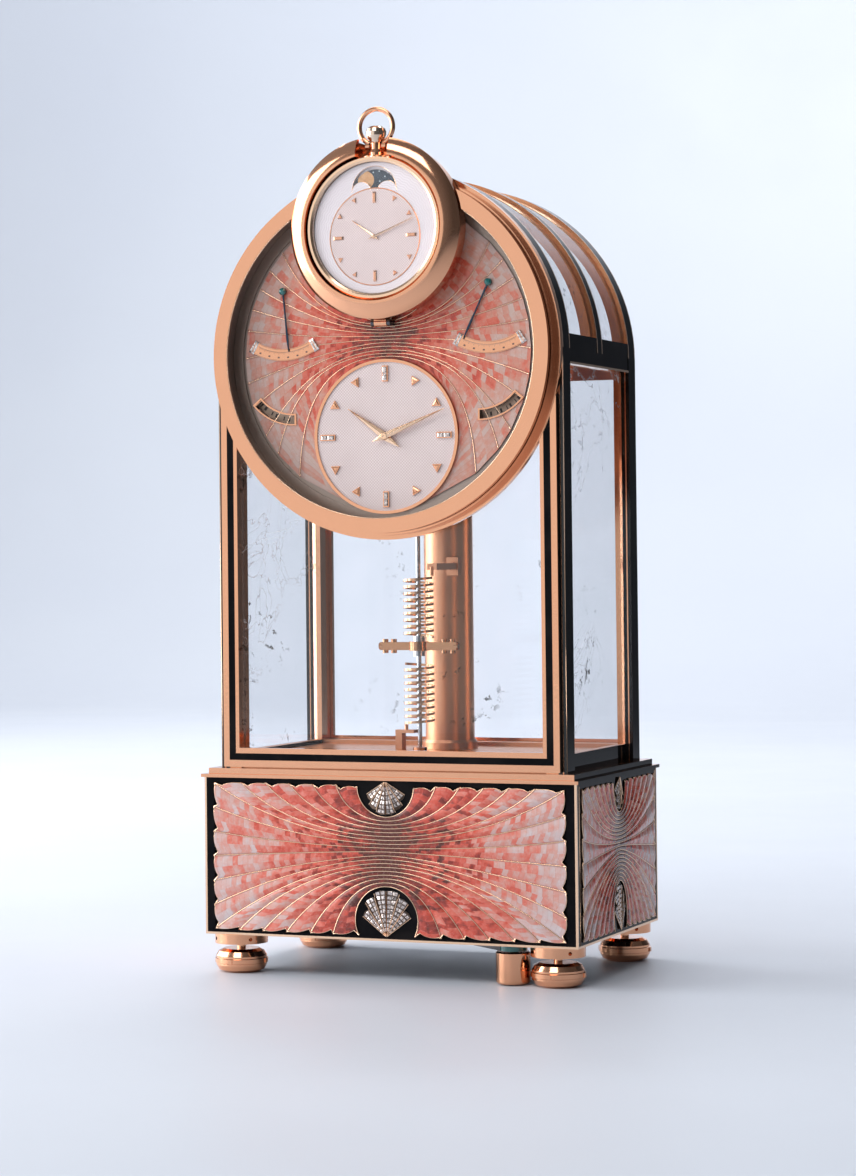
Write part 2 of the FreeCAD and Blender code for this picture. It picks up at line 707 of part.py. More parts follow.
def movement_housing():
    """Stepped shell behind the dial that encloses the movement."""
    wall = HOUSING_WALL
    outside = [(0, HOUSING_BACK), (HOUSING_R_3, HOUSING_BACK), (HOUSING_R_3, HOUSING_STEP_2),
               (HOUSING_R_2, HOUSING_STEP_2), (HOUSING_R_2, HOUSING_STEP_1),
               (HOUSING_R, HOUSING_STEP_1), (HOUSING_R, PLATE_BACK), (0, PLATE_BACK)]
    inside = [(0, HOUSING_BACK - wall), (HOUSING_R_3 - wall, HOUSING_BACK - wall),
              (HOUSING_R_3 - wall, HOUSING_STEP_2 - wall),
              (HOUSING_R_2 - wall, HOUSING_STEP_2 - wall),
              (HOUSING_R_2 - wall, HOUSING_STEP_1 - wall),
              (HOUSING_R - wall, HOUSING_STEP_1 - wall), (HOUSING_R - wall, PLATE_BACK - 1),
              (0, PLATE_BACK - 1)]
    shell = turned_facing(outside, 0, SPRING_Z).cut(turned_facing(inside, 0, SPRING_Z))
    return bored(shell, rod(STAFF_R + RUN_GAP, 150, 195, 0, STAFF_Y),
                 disc(WINDER_R + RUN_GAP, 20, 40, *BARREL))


# ---- dial --------------------------------------------------------------------------------
def window_cut(side):
    """Curved calendar window, on the left for side -1 and on the right for side 1."""
    inner, outer = CALENDAR_WINDOW
    start, end = sorted((180.0, 180.0 - side * CALENDAR_SPAN))
    return sector(inner, outer, start, end, -50, -30, side * CALENDAR_X, CALENDAR_Z)


def dial_holes():
    """Holes for the hands' arbors and the calendar windows."""
    holes = [disc(1.35, -50, -30, *CENTRE)]
    for side in (-1, 1):
        holes.append(disc(0.6 + RUN_GAP, -50, -30, side * GAUGE_X, GAUGE_Z))
        holes.append(window_cut(side))
    return holes


def dial_plate():
    """Brass plate behind the inlays, closing the front of the movement."""
    return bored(disc(HOUSING_R, DIAL_BACK, PLATE_BACK), *dial_holes())


def hinge_arms():
    """Two arms that carry the cradle's hinge pin in front of the dial."""
    arm = block(2.6, 3.75, HINGE_Y, DIAL_BACK, HINGE_Z - 1.0, HINGE_Z + 0.8)
    return mirrored(arm)


def dial_shell_inlay():
    inlay = disc(INLAY_R, DIAL_FRONT, DIAL_BACK)
    return bored(inlay, disc(TIME_R, -50, -30, *CENTRE), *dial_holes(), *hinge_arms())


def hour_marker(number):
    """Baguette at the quarters and a small triangle at the other hours."""
    y0, y1 = TIME_FACE - 0.6, TIME_FACE
    if number % 3 == 0:
        outline = [(-1.1, -2.9), (1.1, -2.9), (1.1, 2.9), (-1.1, 2.9)]
    else:
        outline = [(-1.75, 1.2), (1.75, 1.2), (0, -1.9)]
    marker = plate([(x, TIME_Z + MARKER_R + z) for x, z in outline], y0, y1)
    return turn_about_dial(marker, 30 * number, 0, TIME_Z)


def time_dial():
    """Raised engraved dial with its gilt rim and twelve markers."""
    face = disc(TIME_R - 1.1, TIME_FACE, DIAL_BACK, *CENTRE)
    rim = ring(TIME_R, TIME_R - 1.1, TIME_FACE - 0.5, DIAL_BACK, *CENTRE)
    face = face.cut(disc(1.35, -50, -30, *CENTRE))
    return group([face, rim] + [hour_marker(number) for number in range(12)])


def dial_gauges():
    """Raised gilt scales of the two sector gauges and frames of the calendar windows."""
    y0, y1 = DIAL_FRONT - 0.5, DIAL_FRONT
    frames = []
    for side in (-1, 1):
        scale = sector(*GAUGE_SCALE, 180 - GAUGE_SPAN, 180 + GAUGE_SPAN, y0, y1,
                       side * GAUGE_X, GAUGE_Z)
        frames.append(scale.common(disc(INLAY_R, -60, -30)))
        inner, outer = CALENDAR_WINDOW
        start, end = sorted((180.0 + side * 2.0, 180.0 - side * (CALENDAR_SPAN + 2.0)))
        frame = sector(inner - 0.6, outer + 0.5, start, end, y0, y1, side * CALENDAR_X, CALENDAR_Z)
        frames.append(frame.cut(window_cut(side)).common(disc(INLAY_R, -60, -30)))
    return group(frames)


# ---- time hands and motion work ------------------------------------------------------------
def tapered_hand(length, tail, half_width, hub, y0, y1, angle, x, z):
    """Faceted hand with a short tail, pointing along the given clockwise angle."""
    outline = [(-0.25, tail * -1.0), (0.25, -tail), (half_width, 0), (half_width, length * 0.3),
               (0.2, length), (-0.2, length), (-half_width, length * 0.3), (-half_width, 0)]
    hand = plate([(x + px, z + pz) for px, pz in outline], y0, y1)
    return turn_about_dial(fused(hand, disc(hub, y0, y1, x, z)), angle, x, z)


def hour_hand():
    """Hour hand with its pipe and the hour wheel behind the dial."""
    hand = tapered_hand(17.6, 7.4, 1.15, 2.1, -44.2, -43.7, HOUR_ANGLE, *CENTRE)
    pipe = disc(1.25, -44.2, -38.2, *CENTRE)
    wheel = toothed_wheel(HOUR_TEETH, HOUR_MODULE, -39.2, -38.5, CENTRE, MINUTE_DIRECTION)
    return fused(hand, pipe, wheel).cut(disc(0.75 + RUN_GAP, -50, -30, *CENTRE))


def minute_hand():
    hand = tapered_hand(25.3, 5.1, 1.0, 1.9, -45.0, -44.5, MINUTE_ANGLE, *CENTRE)
    cap = turned_facing([(0, -45.6), (0.8, -45.6), (1.3, -45.0), (0, -45.0)], *CENTRE)
    return fused(hand, cap).cut(disc(0.75, -44.7, -40, *CENTRE))


def centre_wheel():
    """Centre arbor with cannon pinion, centre pinion and centre wheel."""
    arbor = disc(0.75, -44.7, FRONT_PLATE[0] - 1, *CENTRE)
    body = disc(ARBOR_R, FRONT_PLATE[0] - 1, REAR_PLATE[1], *CENTRE)
    cannon = toothed_wheel(CANNON_LEAVES, TRAIN_MODULE, -38.1, -37.2, CENTRE, MINUTE_DIRECTION)
    pinion = toothed_wheel(CENTRE_LEAVES, CENTRE_MODULE, -24.2, -21.8, CENTRE,
                           INTERMEDIATE_DIRECTION)
    wheel = toothed_wheel(CENTRE_TEETH, THIRD_MODULE, -20.6, -19.9, CENTRE, THIRD_DIRECTION)
    wheel = crossed_out(wheel, 3.6, 10.8, -20.6, -19.9, CENTRE)
    return fused(body, arbor, cannon, pinion, wheel)


def minute_wheel():
    """Wheel and pinion that gear the minute hand down to the hour hand."""
    wheel = toothed_wheel(MINUTE_TEETH, TRAIN_MODULE, -38.1, -37.4, MINUTE_WHEEL,
                          opposite_gap(MINUTE_DIRECTION, MINUTE_TEETH))
    pinion = toothed_wheel(MINUTE_LEAVES, HOUR_MODULE, -39.4, -38.1, MINUTE_WHEEL,
                           opposite_gap(MINUTE_DIRECTION, MINUTE_LEAVES))
    return fused(wheel, pinion, disc(0.7, -39.4, FRONT_PLATE[1], *MINUTE_WHEEL))


def intermediate_wheel():
    arbor = disc(ARBOR_R, FRONT_PLATE[0], REAR_PLATE[1], *INTERMEDIATE)
    pinion = toothed_wheel(INTERMEDIATE_LEAVES, TRAIN_MODULE, -26.6, -24.6, INTERMEDIATE,
                           opposite_gap(BARREL_DIRECTION + 180.0, INTERMEDIATE_LEAVES))
    wheel = toothed_wheel(INTERMEDIATE_TEETH, CENTRE_MODULE, -23.4, -22.7, INTERMEDIATE,
                          opposite_gap(INTERMEDIATE_DIRECTION, INTERMEDIATE_TEETH))
    wheel = crossed_out(wheel, 3.6, 11.6, -23.4, -22.7, INTERMEDIATE)
    return fused(arbor, pinion, wheel)


def mainspring_barrel():
    """Drum that holds the mainspring, toothed round its rear edge."""
    case = ring(18.0, 17.2, -35.0, -27.0, *BARREL)
    front = ring(17.4, WINDER_R + RUN_GAP, -35.0, -34.2, *BARREL)
    wheel = toothed_wheel(BARREL_TEETH, TRAIN_MODULE, -27.0, -25.0, BARREL,
                          BARREL_DIRECTION + 180.0)
    wheel = wheel.cut(disc(WINDER_R + RUN_GAP, -60, 60, *BARREL))
    return fused(case, front, wheel)


def mainspring():
    """Coiled mainspring packed against the barrel's wall."""
    coils = [ring(radius, radius - 0.5, -33.8, -27.4, *BARREL) for radius in (17.1, 16.1, 15.1, 14.1)]
    links = [block(radius - 1.2, radius - 0.2, -33.8, -27.4, BARREL[1] - 0.3, BARREL[1] + 0.3)
             for radius in (17.1, 16.1, 15.1)]
    return fused(*coils, *links)


def winding_arbor():
    """Barrel arbor whose squared end is wound with a key from the back."""
    arbor = disc(WINDER_R, FRONT_PLATE[0], HOUSING_BACK + 1.5, *BARREL)
    half = WINDER_R * 0.7
    square = block(-half, half, HOUSING_BACK + 1.5, HOUSING_BACK + 6, BARREL[1] - half,
                   BARREL[1] + half)
    return fused(arbor, square)


def third_wheel():
    arbor = disc(ARBOR_R, FRONT_PLATE[0], REAR_PLATE[1], *THIRD)
    pinion = toothed_wheel(THIRD_LEAVES, THIRD_MODULE, -21.2, -19.3, THIRD,
                           opposite_gap(THIRD_DIRECTION, THIRD_LEAVES))
    wheel = toothed_wheel(THIRD_TEETH, ESCAPE_MODULE, -18.4, -17.8, THIRD, ESCAPE_DIRECTION)
    return fused(arbor, pinion, crossed_out(wheel, 3.2, 8.8, -18.4, -17.8, THIRD))


def escape_wheel():
    """Escape wheel behind the rear plate, with its pinion between the plates."""
    arbor = disc(0.8, FRONT_PLATE[0], -13.0, *ESCAPE)
    pinion = toothed_wheel(ESCAPE_LEAVES, ESCAPE_MODULE, -18.9, -17.3, ESCAPE,
                           opposite_gap(ESCAPE_DIRECTION, ESCAPE_LEAVES))
    outline = []
    for tooth in range(15):
        outline.append(dial_point(24 * tooth, 4.2, *ESCAPE))
        outline.append(dial_point(24 * tooth + 7, 5.9, *ESCAPE))
        outline.append(dial_point(24 * tooth + 9, 5.9, *ESCAPE))
        outline.append(dial_point(24 * tooth + 10, 4.2, *ESCAPE))
    return fused(arbor, pinion, plate(outline, -14.3, -13.7))


def pallet_lever():
    """Lever that carries the beat from the escape wheel to the balance staff."""
    x, z = LEVER_PIVOT
    depths = (-14.3, -13.8)
    stem = [(-0.7, 0), (0.7, 0), (0.5, 12.2), (-0.5, 12.2)]
    fork = [(-1.8, 11.2), (1.8, 11.2), (1.8, 13.8), (1.2, 13.8), (0.9, 12.0), (-0.9, 12.0),
            (-1.2, 13.8), (-1.8, 13.8)]
    yoke = [(-6.0, -3.0), (-5.2, -4.6), (-4.4, -4.0), (0, -1.2), (4.4, -4.0), (5.2, -4.6),
            (6.0, -3.0), (0, 1.2)]
    arms = [plate([(x + px, z + pz) for px, pz in outline], *depths)
            for outline in (stem, fork, yoke)]
    lever = turn_about_dial(fused(*arms), LEVER_DIRECTION, x, z)
    return fused(lever, disc(1.1, *depths, x, z), disc(0.6, REAR_PLATE[0], -12.9, x, z))


def plate_arbor_holes():
    """Pivot holes shared by the two movement plates."""
    holes = [disc(ARBOR_R + RUN_GAP, -60, 0, *place) for place in (CENTRE, INTERMEDIATE, THIRD)]
    holes.append(disc(0.8 + RUN_GAP, -60, 0, *ESCAPE))
    holes.append(disc(WINDER_R + RUN_GAP, -60, 60, *BARREL))
    holes.append(disc(0.7 + RUN_GAP, -60, FRONT_PLATE[1], *MINUTE_WHEEL))
    holes.append(disc(0.6 + RUN_GAP, -60, 0, *LEVER_PIVOT).cut(block(-90, 90, -60, -20, 0, 400)))
    for side in (-1, 1):
        holes.append(disc(0.6 + RUN_GAP, -60, -30, side * GAUGE_X, GAUGE_Z))
        holes.append(disc(0.7 + RUN_GAP, -60, -30, side * CALENDAR_X, CALENDAR_Z))
    return holes


def movement_frame():
    """Front and rear plates of the movement and the four pillars between them."""
    plates = [disc(FRONT_PLATE_R, *FRONT_PLATE), disc(REAR_PLATE_R, *REAR_PLATE)]
    solids = [bored(solid, *plate_arbor_holes()) for solid in plates]
    for angle in (45, 135, 225, 315):
        solids.append(disc(2.0, FRONT_PLATE[1], REAR_PLATE[0], *dial_point(angle, 41, 0, SPRING_Z)))
    return group(solids)


# ---- gauge hands and calendar discs --------------------------------------------------------
def gauge_hand(side, angle):
    """Slim hand of a sector gauge with the stone set on its hub."""
    x = side * GAUGE_X
    outline = [(-0.3, 0), (-0.25, 12), (-0.42, 17.5), (-0.1, 22.3), (0.1, 22.3), (0.42, 17.5),
               (0.25, 12), (0.3, 0)]
    hand = plate([(x + px, GAUGE_Z + pz) for px, pz in outline], -43.3, -42.9)
    hand = turn_about_dial(hand, angle, x, GAUGE_Z)
    hub = turned_facing([(0, -44.6), (0.8, -44.45), (1.25, -44.0), (1.4, -43.4), (1.4, -42.9),
                         (0, -42.9)], x, GAUGE_Z)
    arbor = disc(0.6, -42.9, FRONT_PLATE[1], x, GAUGE_Z)
    return fused(hub, arbor, hand)


def reserve_hand():
    return gauge_hand(-1, RESERVE_ANGLE)


def equation_hand():
    return gauge_hand(1, EQUATION_ANGLE)


def calendar_disc(side):
    """Printed calendar disc behind its window, on a short arbor."""
    place = (side * CALENDAR_X, CALENDAR_Z)
    return fused(disc(CALENDAR_DISC_R, -39.85, -39.45, *place),
                 disc(0.7, -39.5, FRONT_PLATE[1], *place))


# ---- balance -------------------------------------------------------------------------------
def balance_staff():
    """Upright staff with the roller and impulse pin at its top."""
    staff = rod(STAFF_R, CASE_FLOOR_TOP, STAFF_TOP, 0, STAFF_Y)
    roller = rod(1.9, 185.8, STAFF_TOP, 0, STAFF_Y)
    collets = [rod(2.2, z0, z0 + 2.0, 0, STAFF_Y) for z0 in (BAR_Z - 3.7, BAR_Z + 1.7)]
    return fused(staff, roller, *collets)


def balance_bar():
    """Balance bar with poising screws at both ends."""
    bar = block(-BAR_HALF, BAR_HALF, STAFF_Y - 1.2, STAFF_Y + 1.2, BAR_Z - 1.5, BAR_Z + 1.5)
    hub = rod(3.6, BAR_Z - 1.7, BAR_Z + 1.7, 0, STAFF_Y)
    solids = [bar, hub]
    for end in (-1, 1):
        for inset in (1.8, 5.2):
            x = end * (BAR_HALF - inset)
            solids.append(rod(1.1, BAR_Z - 2.6, BAR_Z + 2.6, x, STAFF_Y))
        solids.append(Part.makeCylinder(1.3, 1.6, Vec(end * (BAR_HALF - 1.1), STAFF_Y, BAR_Z),
                                        Vec(end, 0, 0)))
    return fused(*solids).cut(rod(STAFF_R, 0, 300, 0, STAFF_Y))


def helical_spring(foot):
    """Flat-ribbon helical balance spring standing round the staff."""
    radius = SPRING_R - 0.35
    helix = Part.makeHelix(SPRING_PITCH, SPRING_PITCH * SPRING_TURNS, radius)
    ribbon = Part.makePolygon([Vec(radius - 0.3, 0, -0.45), Vec(radius + 0.3, 0, -0.45),
                               Vec(radius + 0.3, 0, 0.45), Vec(radius - 0.3, 0, 0.45),
                               Vec(radius - 0.3, 0, -0.45)])
    spring = Part.Wire(helix.Edges).makePipeShell([ribbon], True, True)
    spring.translate(Vec(0, STAFF_Y, foot))
    return spring


def balance_springs():
    lower = helical_spring(LOWER_SPRING_Z)
    lower.rotate(Vec(0, STAFF_Y, 0), ALONG_Z, 180)
    return group([helical_spring(UPPER_SPRING_Z), lower])


def support_column():
    """Column behind the balance that carries the movement, with its base ring."""
    shaft = rod(COLUMN_R, CASE_FLOOR_TOP, SPRING_Z - HOUSING_R_3 + 4, 0, COLUMN_Y)
    base = turned([(0, CASE_FLOOR_TOP), (10.4, CASE_FLOOR_TOP), (10.4, 82.4), (9.9, 83.4),
                   (0, 83.4)], 0, COLUMN_Y)
    column = fused(shaft, base)
    return column.cut(disc(HOUSING_R_3, HOUSING_STEP_2, HOUSING_BACK + 5))


def balance_brackets():
    """Upper bracket on the column and lower bracket on the floor, which hold the springs."""
    arm = block(3.6, 7.4, STAFF_Y, COLUMN_Y - 7.0, UPPER_BRACKET_Z - 1.2, UPPER_BRACKET_Z + 1.2)
    pad = block(3.2, 7.8, COLUMN_Y - 10.2, COLUMN_Y - 6.6, UPPER_BRACKET_Z - 3.4,
                UPPER_BRACKET_Z + 3.4)
    stud = rod(0.7, UPPER_BRACKET_Z - 3.4, UPPER_BRACKET_Z, SPRING_R - 0.35, STAFF_Y)
    screw = Part.makeCylinder(1.5, 1.2, Vec(5.5, COLUMN_Y - 10.2, UPPER_BRACKET_Z + 0.2), Vec(0, -1, 0))
    upper = fused(arm, pad, stud, screw).cut(rod(COLUMN_R, 80, 200, 0, COLUMN_Y))
    foot = block(-9.0, -6.4, STAFF_Y - 2, STAFF_Y + 2, CASE_FLOOR_TOP, 88.6)
    shelf = block(-9.0, 4.0 - SPRING_R, STAFF_Y - 2, STAFF_Y + 2, 87.4, 88.6)
    lower_stud = rod(0.7, 88.6, LOWER_SPRING_Z - 0.5, 0.35 - SPRING_R, STAFF_Y)
    return group([upper, fused(foot, shelf, lower_stud)])


# ---- watch cradle --------------------------------------------------------------------------
def cradle_ring():
    """Cup that holds the pocket watch: a domed front ring on a narrower barrel, with a slot
    at the top for the pendant and a hinge knuckle at the bottom."""
    floor = CRADLE_BACK - CRADLE_FLOOR
    profile = [(CRADLE_R, CRADLE_EDGE), (CRADLE_R, CRADLE_EDGE + 1.2),
               (CRADLE_BARREL_R, CRADLE_EDGE + 1.2), (CRADLE_BARREL_R, CRADLE_BACK),
               (0, CRADLE_BACK), (0, floor), (CRADLE_BORE, floor), (CRADLE_BORE, CRADLE_FRONT)]
    points = [Vec(radius, depth, WATCH_Z) for radius, depth in profile]
    dome = Part.Arc(points[-1], Vec(*CRADLE_CREST, WATCH_Z), points[0]).toShape()
    face = Part.Face(Part.Wire([*Part.makePolygon(points).Edges, dome]))
    cup = face.revolve(Vec(0, 0, WATCH_Z), ALONG_Y, 360)
    cup = cup.cut(block(-SLOT_HALF, SLOT_HALF, -60, floor, WATCH_Z + 20, WATCH_Z + 40))
    lug = block(-2.4, 2.4, HINGE_Y - 1.4, HINGE_Y + 1.4, HINGE_Z, HINGE_Z + 3.2)
    knuckle = Part.makeCylinder(1.5, 4.8, Vec(-2.4, HINGE_Y, HINGE_Z), ALONG_X)
    bore = Part.makeCylinder(0.6 + RUN_GAP, 20, Vec(-10, HINGE_Y, HINGE_Z), ALONG_X)
    body = fused(cup, lug.cut(disc(CRADLE_BORE + 1, -60, 0, 0, WATCH_Z)), knuckle)
    return body.cut(bore)


def cradle_hinge():
    """Pin and fixed knuckles in front of the dial."""
    pin = Part.makeCylinder(0.6, 7.5, Vec(-3.75, HINGE_Y, HINGE_Z), ALONG_X)
    solids = [pin]
    for x0 in (-3.75, 2.6):
        solids.append(Part.makeCylinder(1.4, 1.15, Vec(x0, HINGE_Y, HINGE_Z), ALONG_X))
    return fused(*solids, *hinge_arms())


# ---- pocket watch --------------------------------------------------------------------------
def watch_case():
    """Case cup with the pendant tube at the top."""
    profile = [(0, -44.7), (WATCH_R - 2.2, -44.7), (WATCH_R, -46.2), (WATCH_R, -51.6),
               (WATCH_R - 1.4, -51.6), (WATCH_R - 1.4, -46.4), (0, -46.0)]
    cup = turned_facing(profile, 0, WATCH_Z)
    pendant = turned([(0, 296.2), (2.9, 296.2), (2.9, 298.8), (2.2, 300.0), (2.2, 302.3), (0, 302.3)],
                     0, PENDANT_Y)
    pendant = bored(pendant, disc(WATCH_R - 1.0, -60, -30, 0, WATCH_Z),
                    disc(WATCH_R, -60, -51.6, 0, WATCH_Z))
    pin = Part.makeCylinder(0.6, 7.0, Vec(-3.5, PENDANT_Y, BOW_PIVOT_Z), ALONG_X)
    return fused(cup, pendant, pin).cut(rod(0.9 + RUN_GAP, 297.9, 310, 0, PENDANT_Y))


def watch_bezel():
    profile = [(WATCH_BEZEL_BORE, -51.6), (WATCH_R, -51.6), (WATCH_R, -52.4),
               (WATCH_R - 0.7, WATCH_BEZEL_FRONT), (WATCH_BEZEL_BORE + 0.8, WATCH_BEZEL_FRONT),
               (WATCH_BEZEL_BORE, -52.9)]
    return turned_facing(profile, 0, WATCH_Z)


def watch_crystal():
    """Slightly domed glass of the watch."""
    profile = [(0, -53.1), (12, -53.1), (20, -53.0), (WATCH_BEZEL_BORE, -52.8),
               (WATCH_BEZEL_BORE, -52.45), (0, -52.6)]
    return turned_facing(profile, 0, WATCH_Z)


def watch_dial():
    """Watch dial with its half-round moon aperture."""
    face = disc(23.6, WATCH_DIAL_FRONT, -50.6, 0, WATCH_Z)
    aperture = disc(MOON_DISC_R - 0.4, -60, -40, 0, MOON_Z + 1.5)
    aperture = aperture.cut(block(-20, 20, -60, -40, 200, MOON_Z + 1.5))
    return bored(face, aperture, disc(0.9, -60, -40, 0, WATCH_HANDS_Z))


def watch_movement():
    """Block that stands for the watch's movement, behind the dial and the moon disc."""
    body = disc(24.0, -50.0, -46.4, 0, WATCH_Z)
    return bored(body, disc(0.45 + RUN_GAP, -60, -40, 0, WATCH_HANDS_Z),
                 disc(0.5 + RUN_GAP, -60, -40, 0, MOON_Z))


def moon_disc():
    """Turning disc of the moon display."""
    return fused(disc(MOON_DISC_R, -50.5, -50.1, 0, MOON_Z), disc(0.5, -50.3, -47.5, 0, MOON_Z))


def watch_hour_hand():
    hand = tapered_hand(10.4, 2.6, 0.7, 1.1, -51.75, -51.5, HOUR_ANGLE, 0, WATCH_HANDS_Z)
    pipe = disc(0.85, -51.75, -50.3, 0, WATCH_HANDS_Z)
    return fused(hand, pipe).cut(disc(0.45 + RUN_GAP, -60, -40, 0, WATCH_HANDS_Z))


def watch_minute_hand():
    hand = tapered_hand(15.8, 2.8, 0.6, 1.0, -52.2, -51.9, MINUTE_ANGLE, 0, WATCH_HANDS_Z)
    return fused(hand, disc(0.45, -52.2, -47.0, 0, WATCH_HANDS_Z))


def watch_crown():
    """Onion crown with its winding stem."""
    profile = [(0, 298.3), (0.9, 298.3), (0.9, 302.6), (2.3, 302.6), (2.6, 303.2), (3.3, 304.2),
               (3.65, 305.0), (3.75, 306.4), (3.4, 307.5), (2.4, 308.3), (1.2, 308.6), (0, 308.65)]
    return turned(profile, 0, PENDANT_Y)


def watch_bow():
    """Ring that the watch hangs by, pivoted on the pendant."""
    hoop = Part.makeTorus(BOW_R, BOW_WIRE, Vec(0, PENDANT_Y, BOW_Z), ALONG_Y)
    hoop = bored(hoop, block(-10, 10, -60, -40, 290, BOW_PIVOT_Z + 0.9),
                 block(-2.35, 2.35, -60, -40, 290, BOW_Z),
                 block(-2.95, 2.95, -60, -40, BOW_PIVOT_Z + 1.3, BOW_Z))
    ears = []
    for x0 in (-3.9, 2.35):
        ears.append(Part.makeCylinder(1.3, 1.55, Vec(x0, PENDANT_Y, BOW_PIVOT_Z), ALONG_X))
    hole = Part.makeCylinder(0.6 + RUN_GAP, 20, Vec(-10, PENDANT_Y, BOW_PIVOT_Z), ALONG_X)
    return fused(hoop, *ears).cut(hole)


# ---- the assembly --------------------------------------------------------------------------
NODES = {
    "plinth_slabs": plinth_slabs,
    "gold_trims": gold_trims,
    "plinth_floor": plinth_floor,
    "plinth_mouldings": plinth_mouldings,
    "shell_panels": shell_panels,
    "fan_ornaments": fan_ornaments,
    "foot_flanges": foot_flanges,
    "transport_lock": lambda: group([lock_knob(), lock_lever()]),
    "case_floor": case_floor,
    "corner_posts": corner_posts,
    "onyx_strips": onyx_strips,
    "front_frame": front_frame,
    "case_crystals": case_crystals,
    "roof_frame": lambda: group([roof_arches(), springer_beams()]),
    "roof_crystals": roof_crystals,
    "rear_door_frame": rear_door_frame,
    "rear_door_crystal": rear_door_crystal,
    "door_hinges": door_hinges,
    "drum_shell": drum_shell,
    "drum_bezel": drum_bezel,
    "drum_rings": drum_rings,
    "movement_housing": movement_housing,
    "dial_plate": dial_plate,
    "dial_shell_inlay": dial_shell_inlay,
    "time_dial": time_dial,
    "dial_gauges": dial_gauges,
    "hour_hand": hour_hand,
    "minute_hand": minute_hand,
    "centre_wheel": centre_wheel,
    "minute_wheel": minute_wheel,
    "intermediate_wheel": intermediate_wheel,
    "mainspring_barrel": lambda: group([mainspring_barrel(), mainspring()]),
    "winding_arbor": winding_arbor,
    "third_wheel": third_wheel,
    "escape_wheel": escape_wheel,
    "pallet_lever": pallet_lever,
    "movement_frame": movement_frame,
    "reserve_hand": reserve_hand,
    "equation_hand": equation_hand,
    "month_disc": lambda: calendar_disc(-1),
    "date_disc": lambda: calendar_disc(1),
    "balance_staff": balance_staff,
    "balance_bar": balance_bar,
    "balance_springs": balance_springs,
    "support_column": lambda: group([support_column(), balance_brackets()]),
    "cradle_ring": cradle_ring,
    "cradle_hinge": cradle_hinge,
    "watch_case": watch_case,
    "watch_bezel": watch_bezel,
    "watch_crystal": watch_crystal,
    "watch_dial": lambda: group([watch_dial(), watch_movement()]),
    "moon_disc": moon_disc,
    "watch_hour_hand": watch_hour_hand,
    "watch_minute_hand": watch_minute_hand,
    "watch_crown": watch_crown,
    "watch_bow": watch_bow,
    "foot_screw_front_left": lambda: foot_screw(-FOOT_X, -FOOT_Y),
    "foot_screw_front_right": lambda: foot_screw(FOOT_X, -FOOT_Y),
    "foot_screw_rear_left": lambda: foot_screw(-FOOT_X, FOOT_Y),
    "foot_screw_rear_right": lambda: foot_screw(FOOT_X, FOOT_Y),
}


def main():
    os.makedirs("parts", exist_ok=True)
    for name, make in NODES.items():
        shape = make()
        shape.translate(Vec(0, DEPTH_SHIFT, 0))
        shape.exportStep(os.path.join("parts", name + ".step"))
        print(name, len(shape.Solids), round(shape.Volume, 1), shape.isValid())


main()
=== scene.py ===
"""Anniversary clock: finishes, fine relief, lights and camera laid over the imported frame.

Sizes below are in millimetres, with depth counted from the middle of the plinth. `metres`
turns them into the row frame.
"""

import math

import bpy
import numpy as np
from mathutils import Matrix, Vector


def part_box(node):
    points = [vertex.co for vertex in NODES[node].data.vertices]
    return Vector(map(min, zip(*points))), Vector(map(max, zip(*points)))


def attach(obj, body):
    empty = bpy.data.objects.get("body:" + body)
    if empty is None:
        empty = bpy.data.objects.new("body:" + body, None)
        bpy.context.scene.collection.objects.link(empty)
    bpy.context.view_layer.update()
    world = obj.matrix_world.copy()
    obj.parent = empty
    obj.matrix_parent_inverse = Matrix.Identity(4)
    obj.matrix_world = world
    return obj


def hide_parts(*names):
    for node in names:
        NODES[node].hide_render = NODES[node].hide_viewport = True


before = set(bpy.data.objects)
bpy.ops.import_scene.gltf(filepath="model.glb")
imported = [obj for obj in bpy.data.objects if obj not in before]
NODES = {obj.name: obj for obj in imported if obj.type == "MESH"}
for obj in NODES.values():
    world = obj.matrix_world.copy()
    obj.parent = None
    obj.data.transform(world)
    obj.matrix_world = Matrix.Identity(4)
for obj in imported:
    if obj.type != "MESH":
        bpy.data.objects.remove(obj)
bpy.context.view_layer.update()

# ---- sizes ---------------------------------------------------------------------------------
# plinth and its shell panels; a notch is its centre's height and its radius
PLINTH_HALF_W = 72.5
PLINTH_HALF_D = 46.5
PANEL_HALF = 68.6
PANEL_HALF_SIDE = 42.0
PANEL_BOTTOM = 16.2
PANEL_TOP = 70.3
PANEL_PROUD = 0.5
UPPER_NOTCH = (70.0, 11.0)
LOWER_NOTCH = (21.8, 12.2)
SIDE_SQUEEZE = PANEL_HALF_SIDE / PANEL_HALF
# dial; a gauge or calendar is its axis (x, z), a scale or window its inner and outer radius
DIAL_FRONT = -42.2
DIAL_Z = 226.6
INLAY_R = 56.9
BORDER_R = 62.0
TIME_Z = 196.5
TIME_R = 28.15
TIME_FACE = -42.8
MARKER_R = 22.8
GAUGE = (40.3, 250.8)
GAUGE_SCALE = (21.2, 25.5)
HUB_STONE_FRONT = -43.35
CALENDAR = (36.3, 223.3)
CALENDAR_WINDOW = (18.2, 21.4)
CALENDAR_SPAN = 48.0
CALENDAR_MARKS = (19.1, 20.6)
# watch
WATCH_HANDS_Z = 268.3
WATCH_FACE = -51.2
SUBDIAL_R = 17.5
MOON_Z = 283.6
# time shown by both dials, clockwise from straight up
HOUR_ANGLE = 305.7
MINUTE_ANGLE = 68.0
# case posts, front rails and the knob of the transport lock (x, y)
SIDE_RAIL_X = 64.0
POST_BLACK_X = 64.2
POST_LINE_X = 66.1
POST_SIDE_X = 67.0
LOCK_KNOB = (45.4, -39.0)
LOCK_KNOB_R = 6.4
LOCK_COLLAR_R = 7.5
LOCK_KNOB_TOP = 12.0

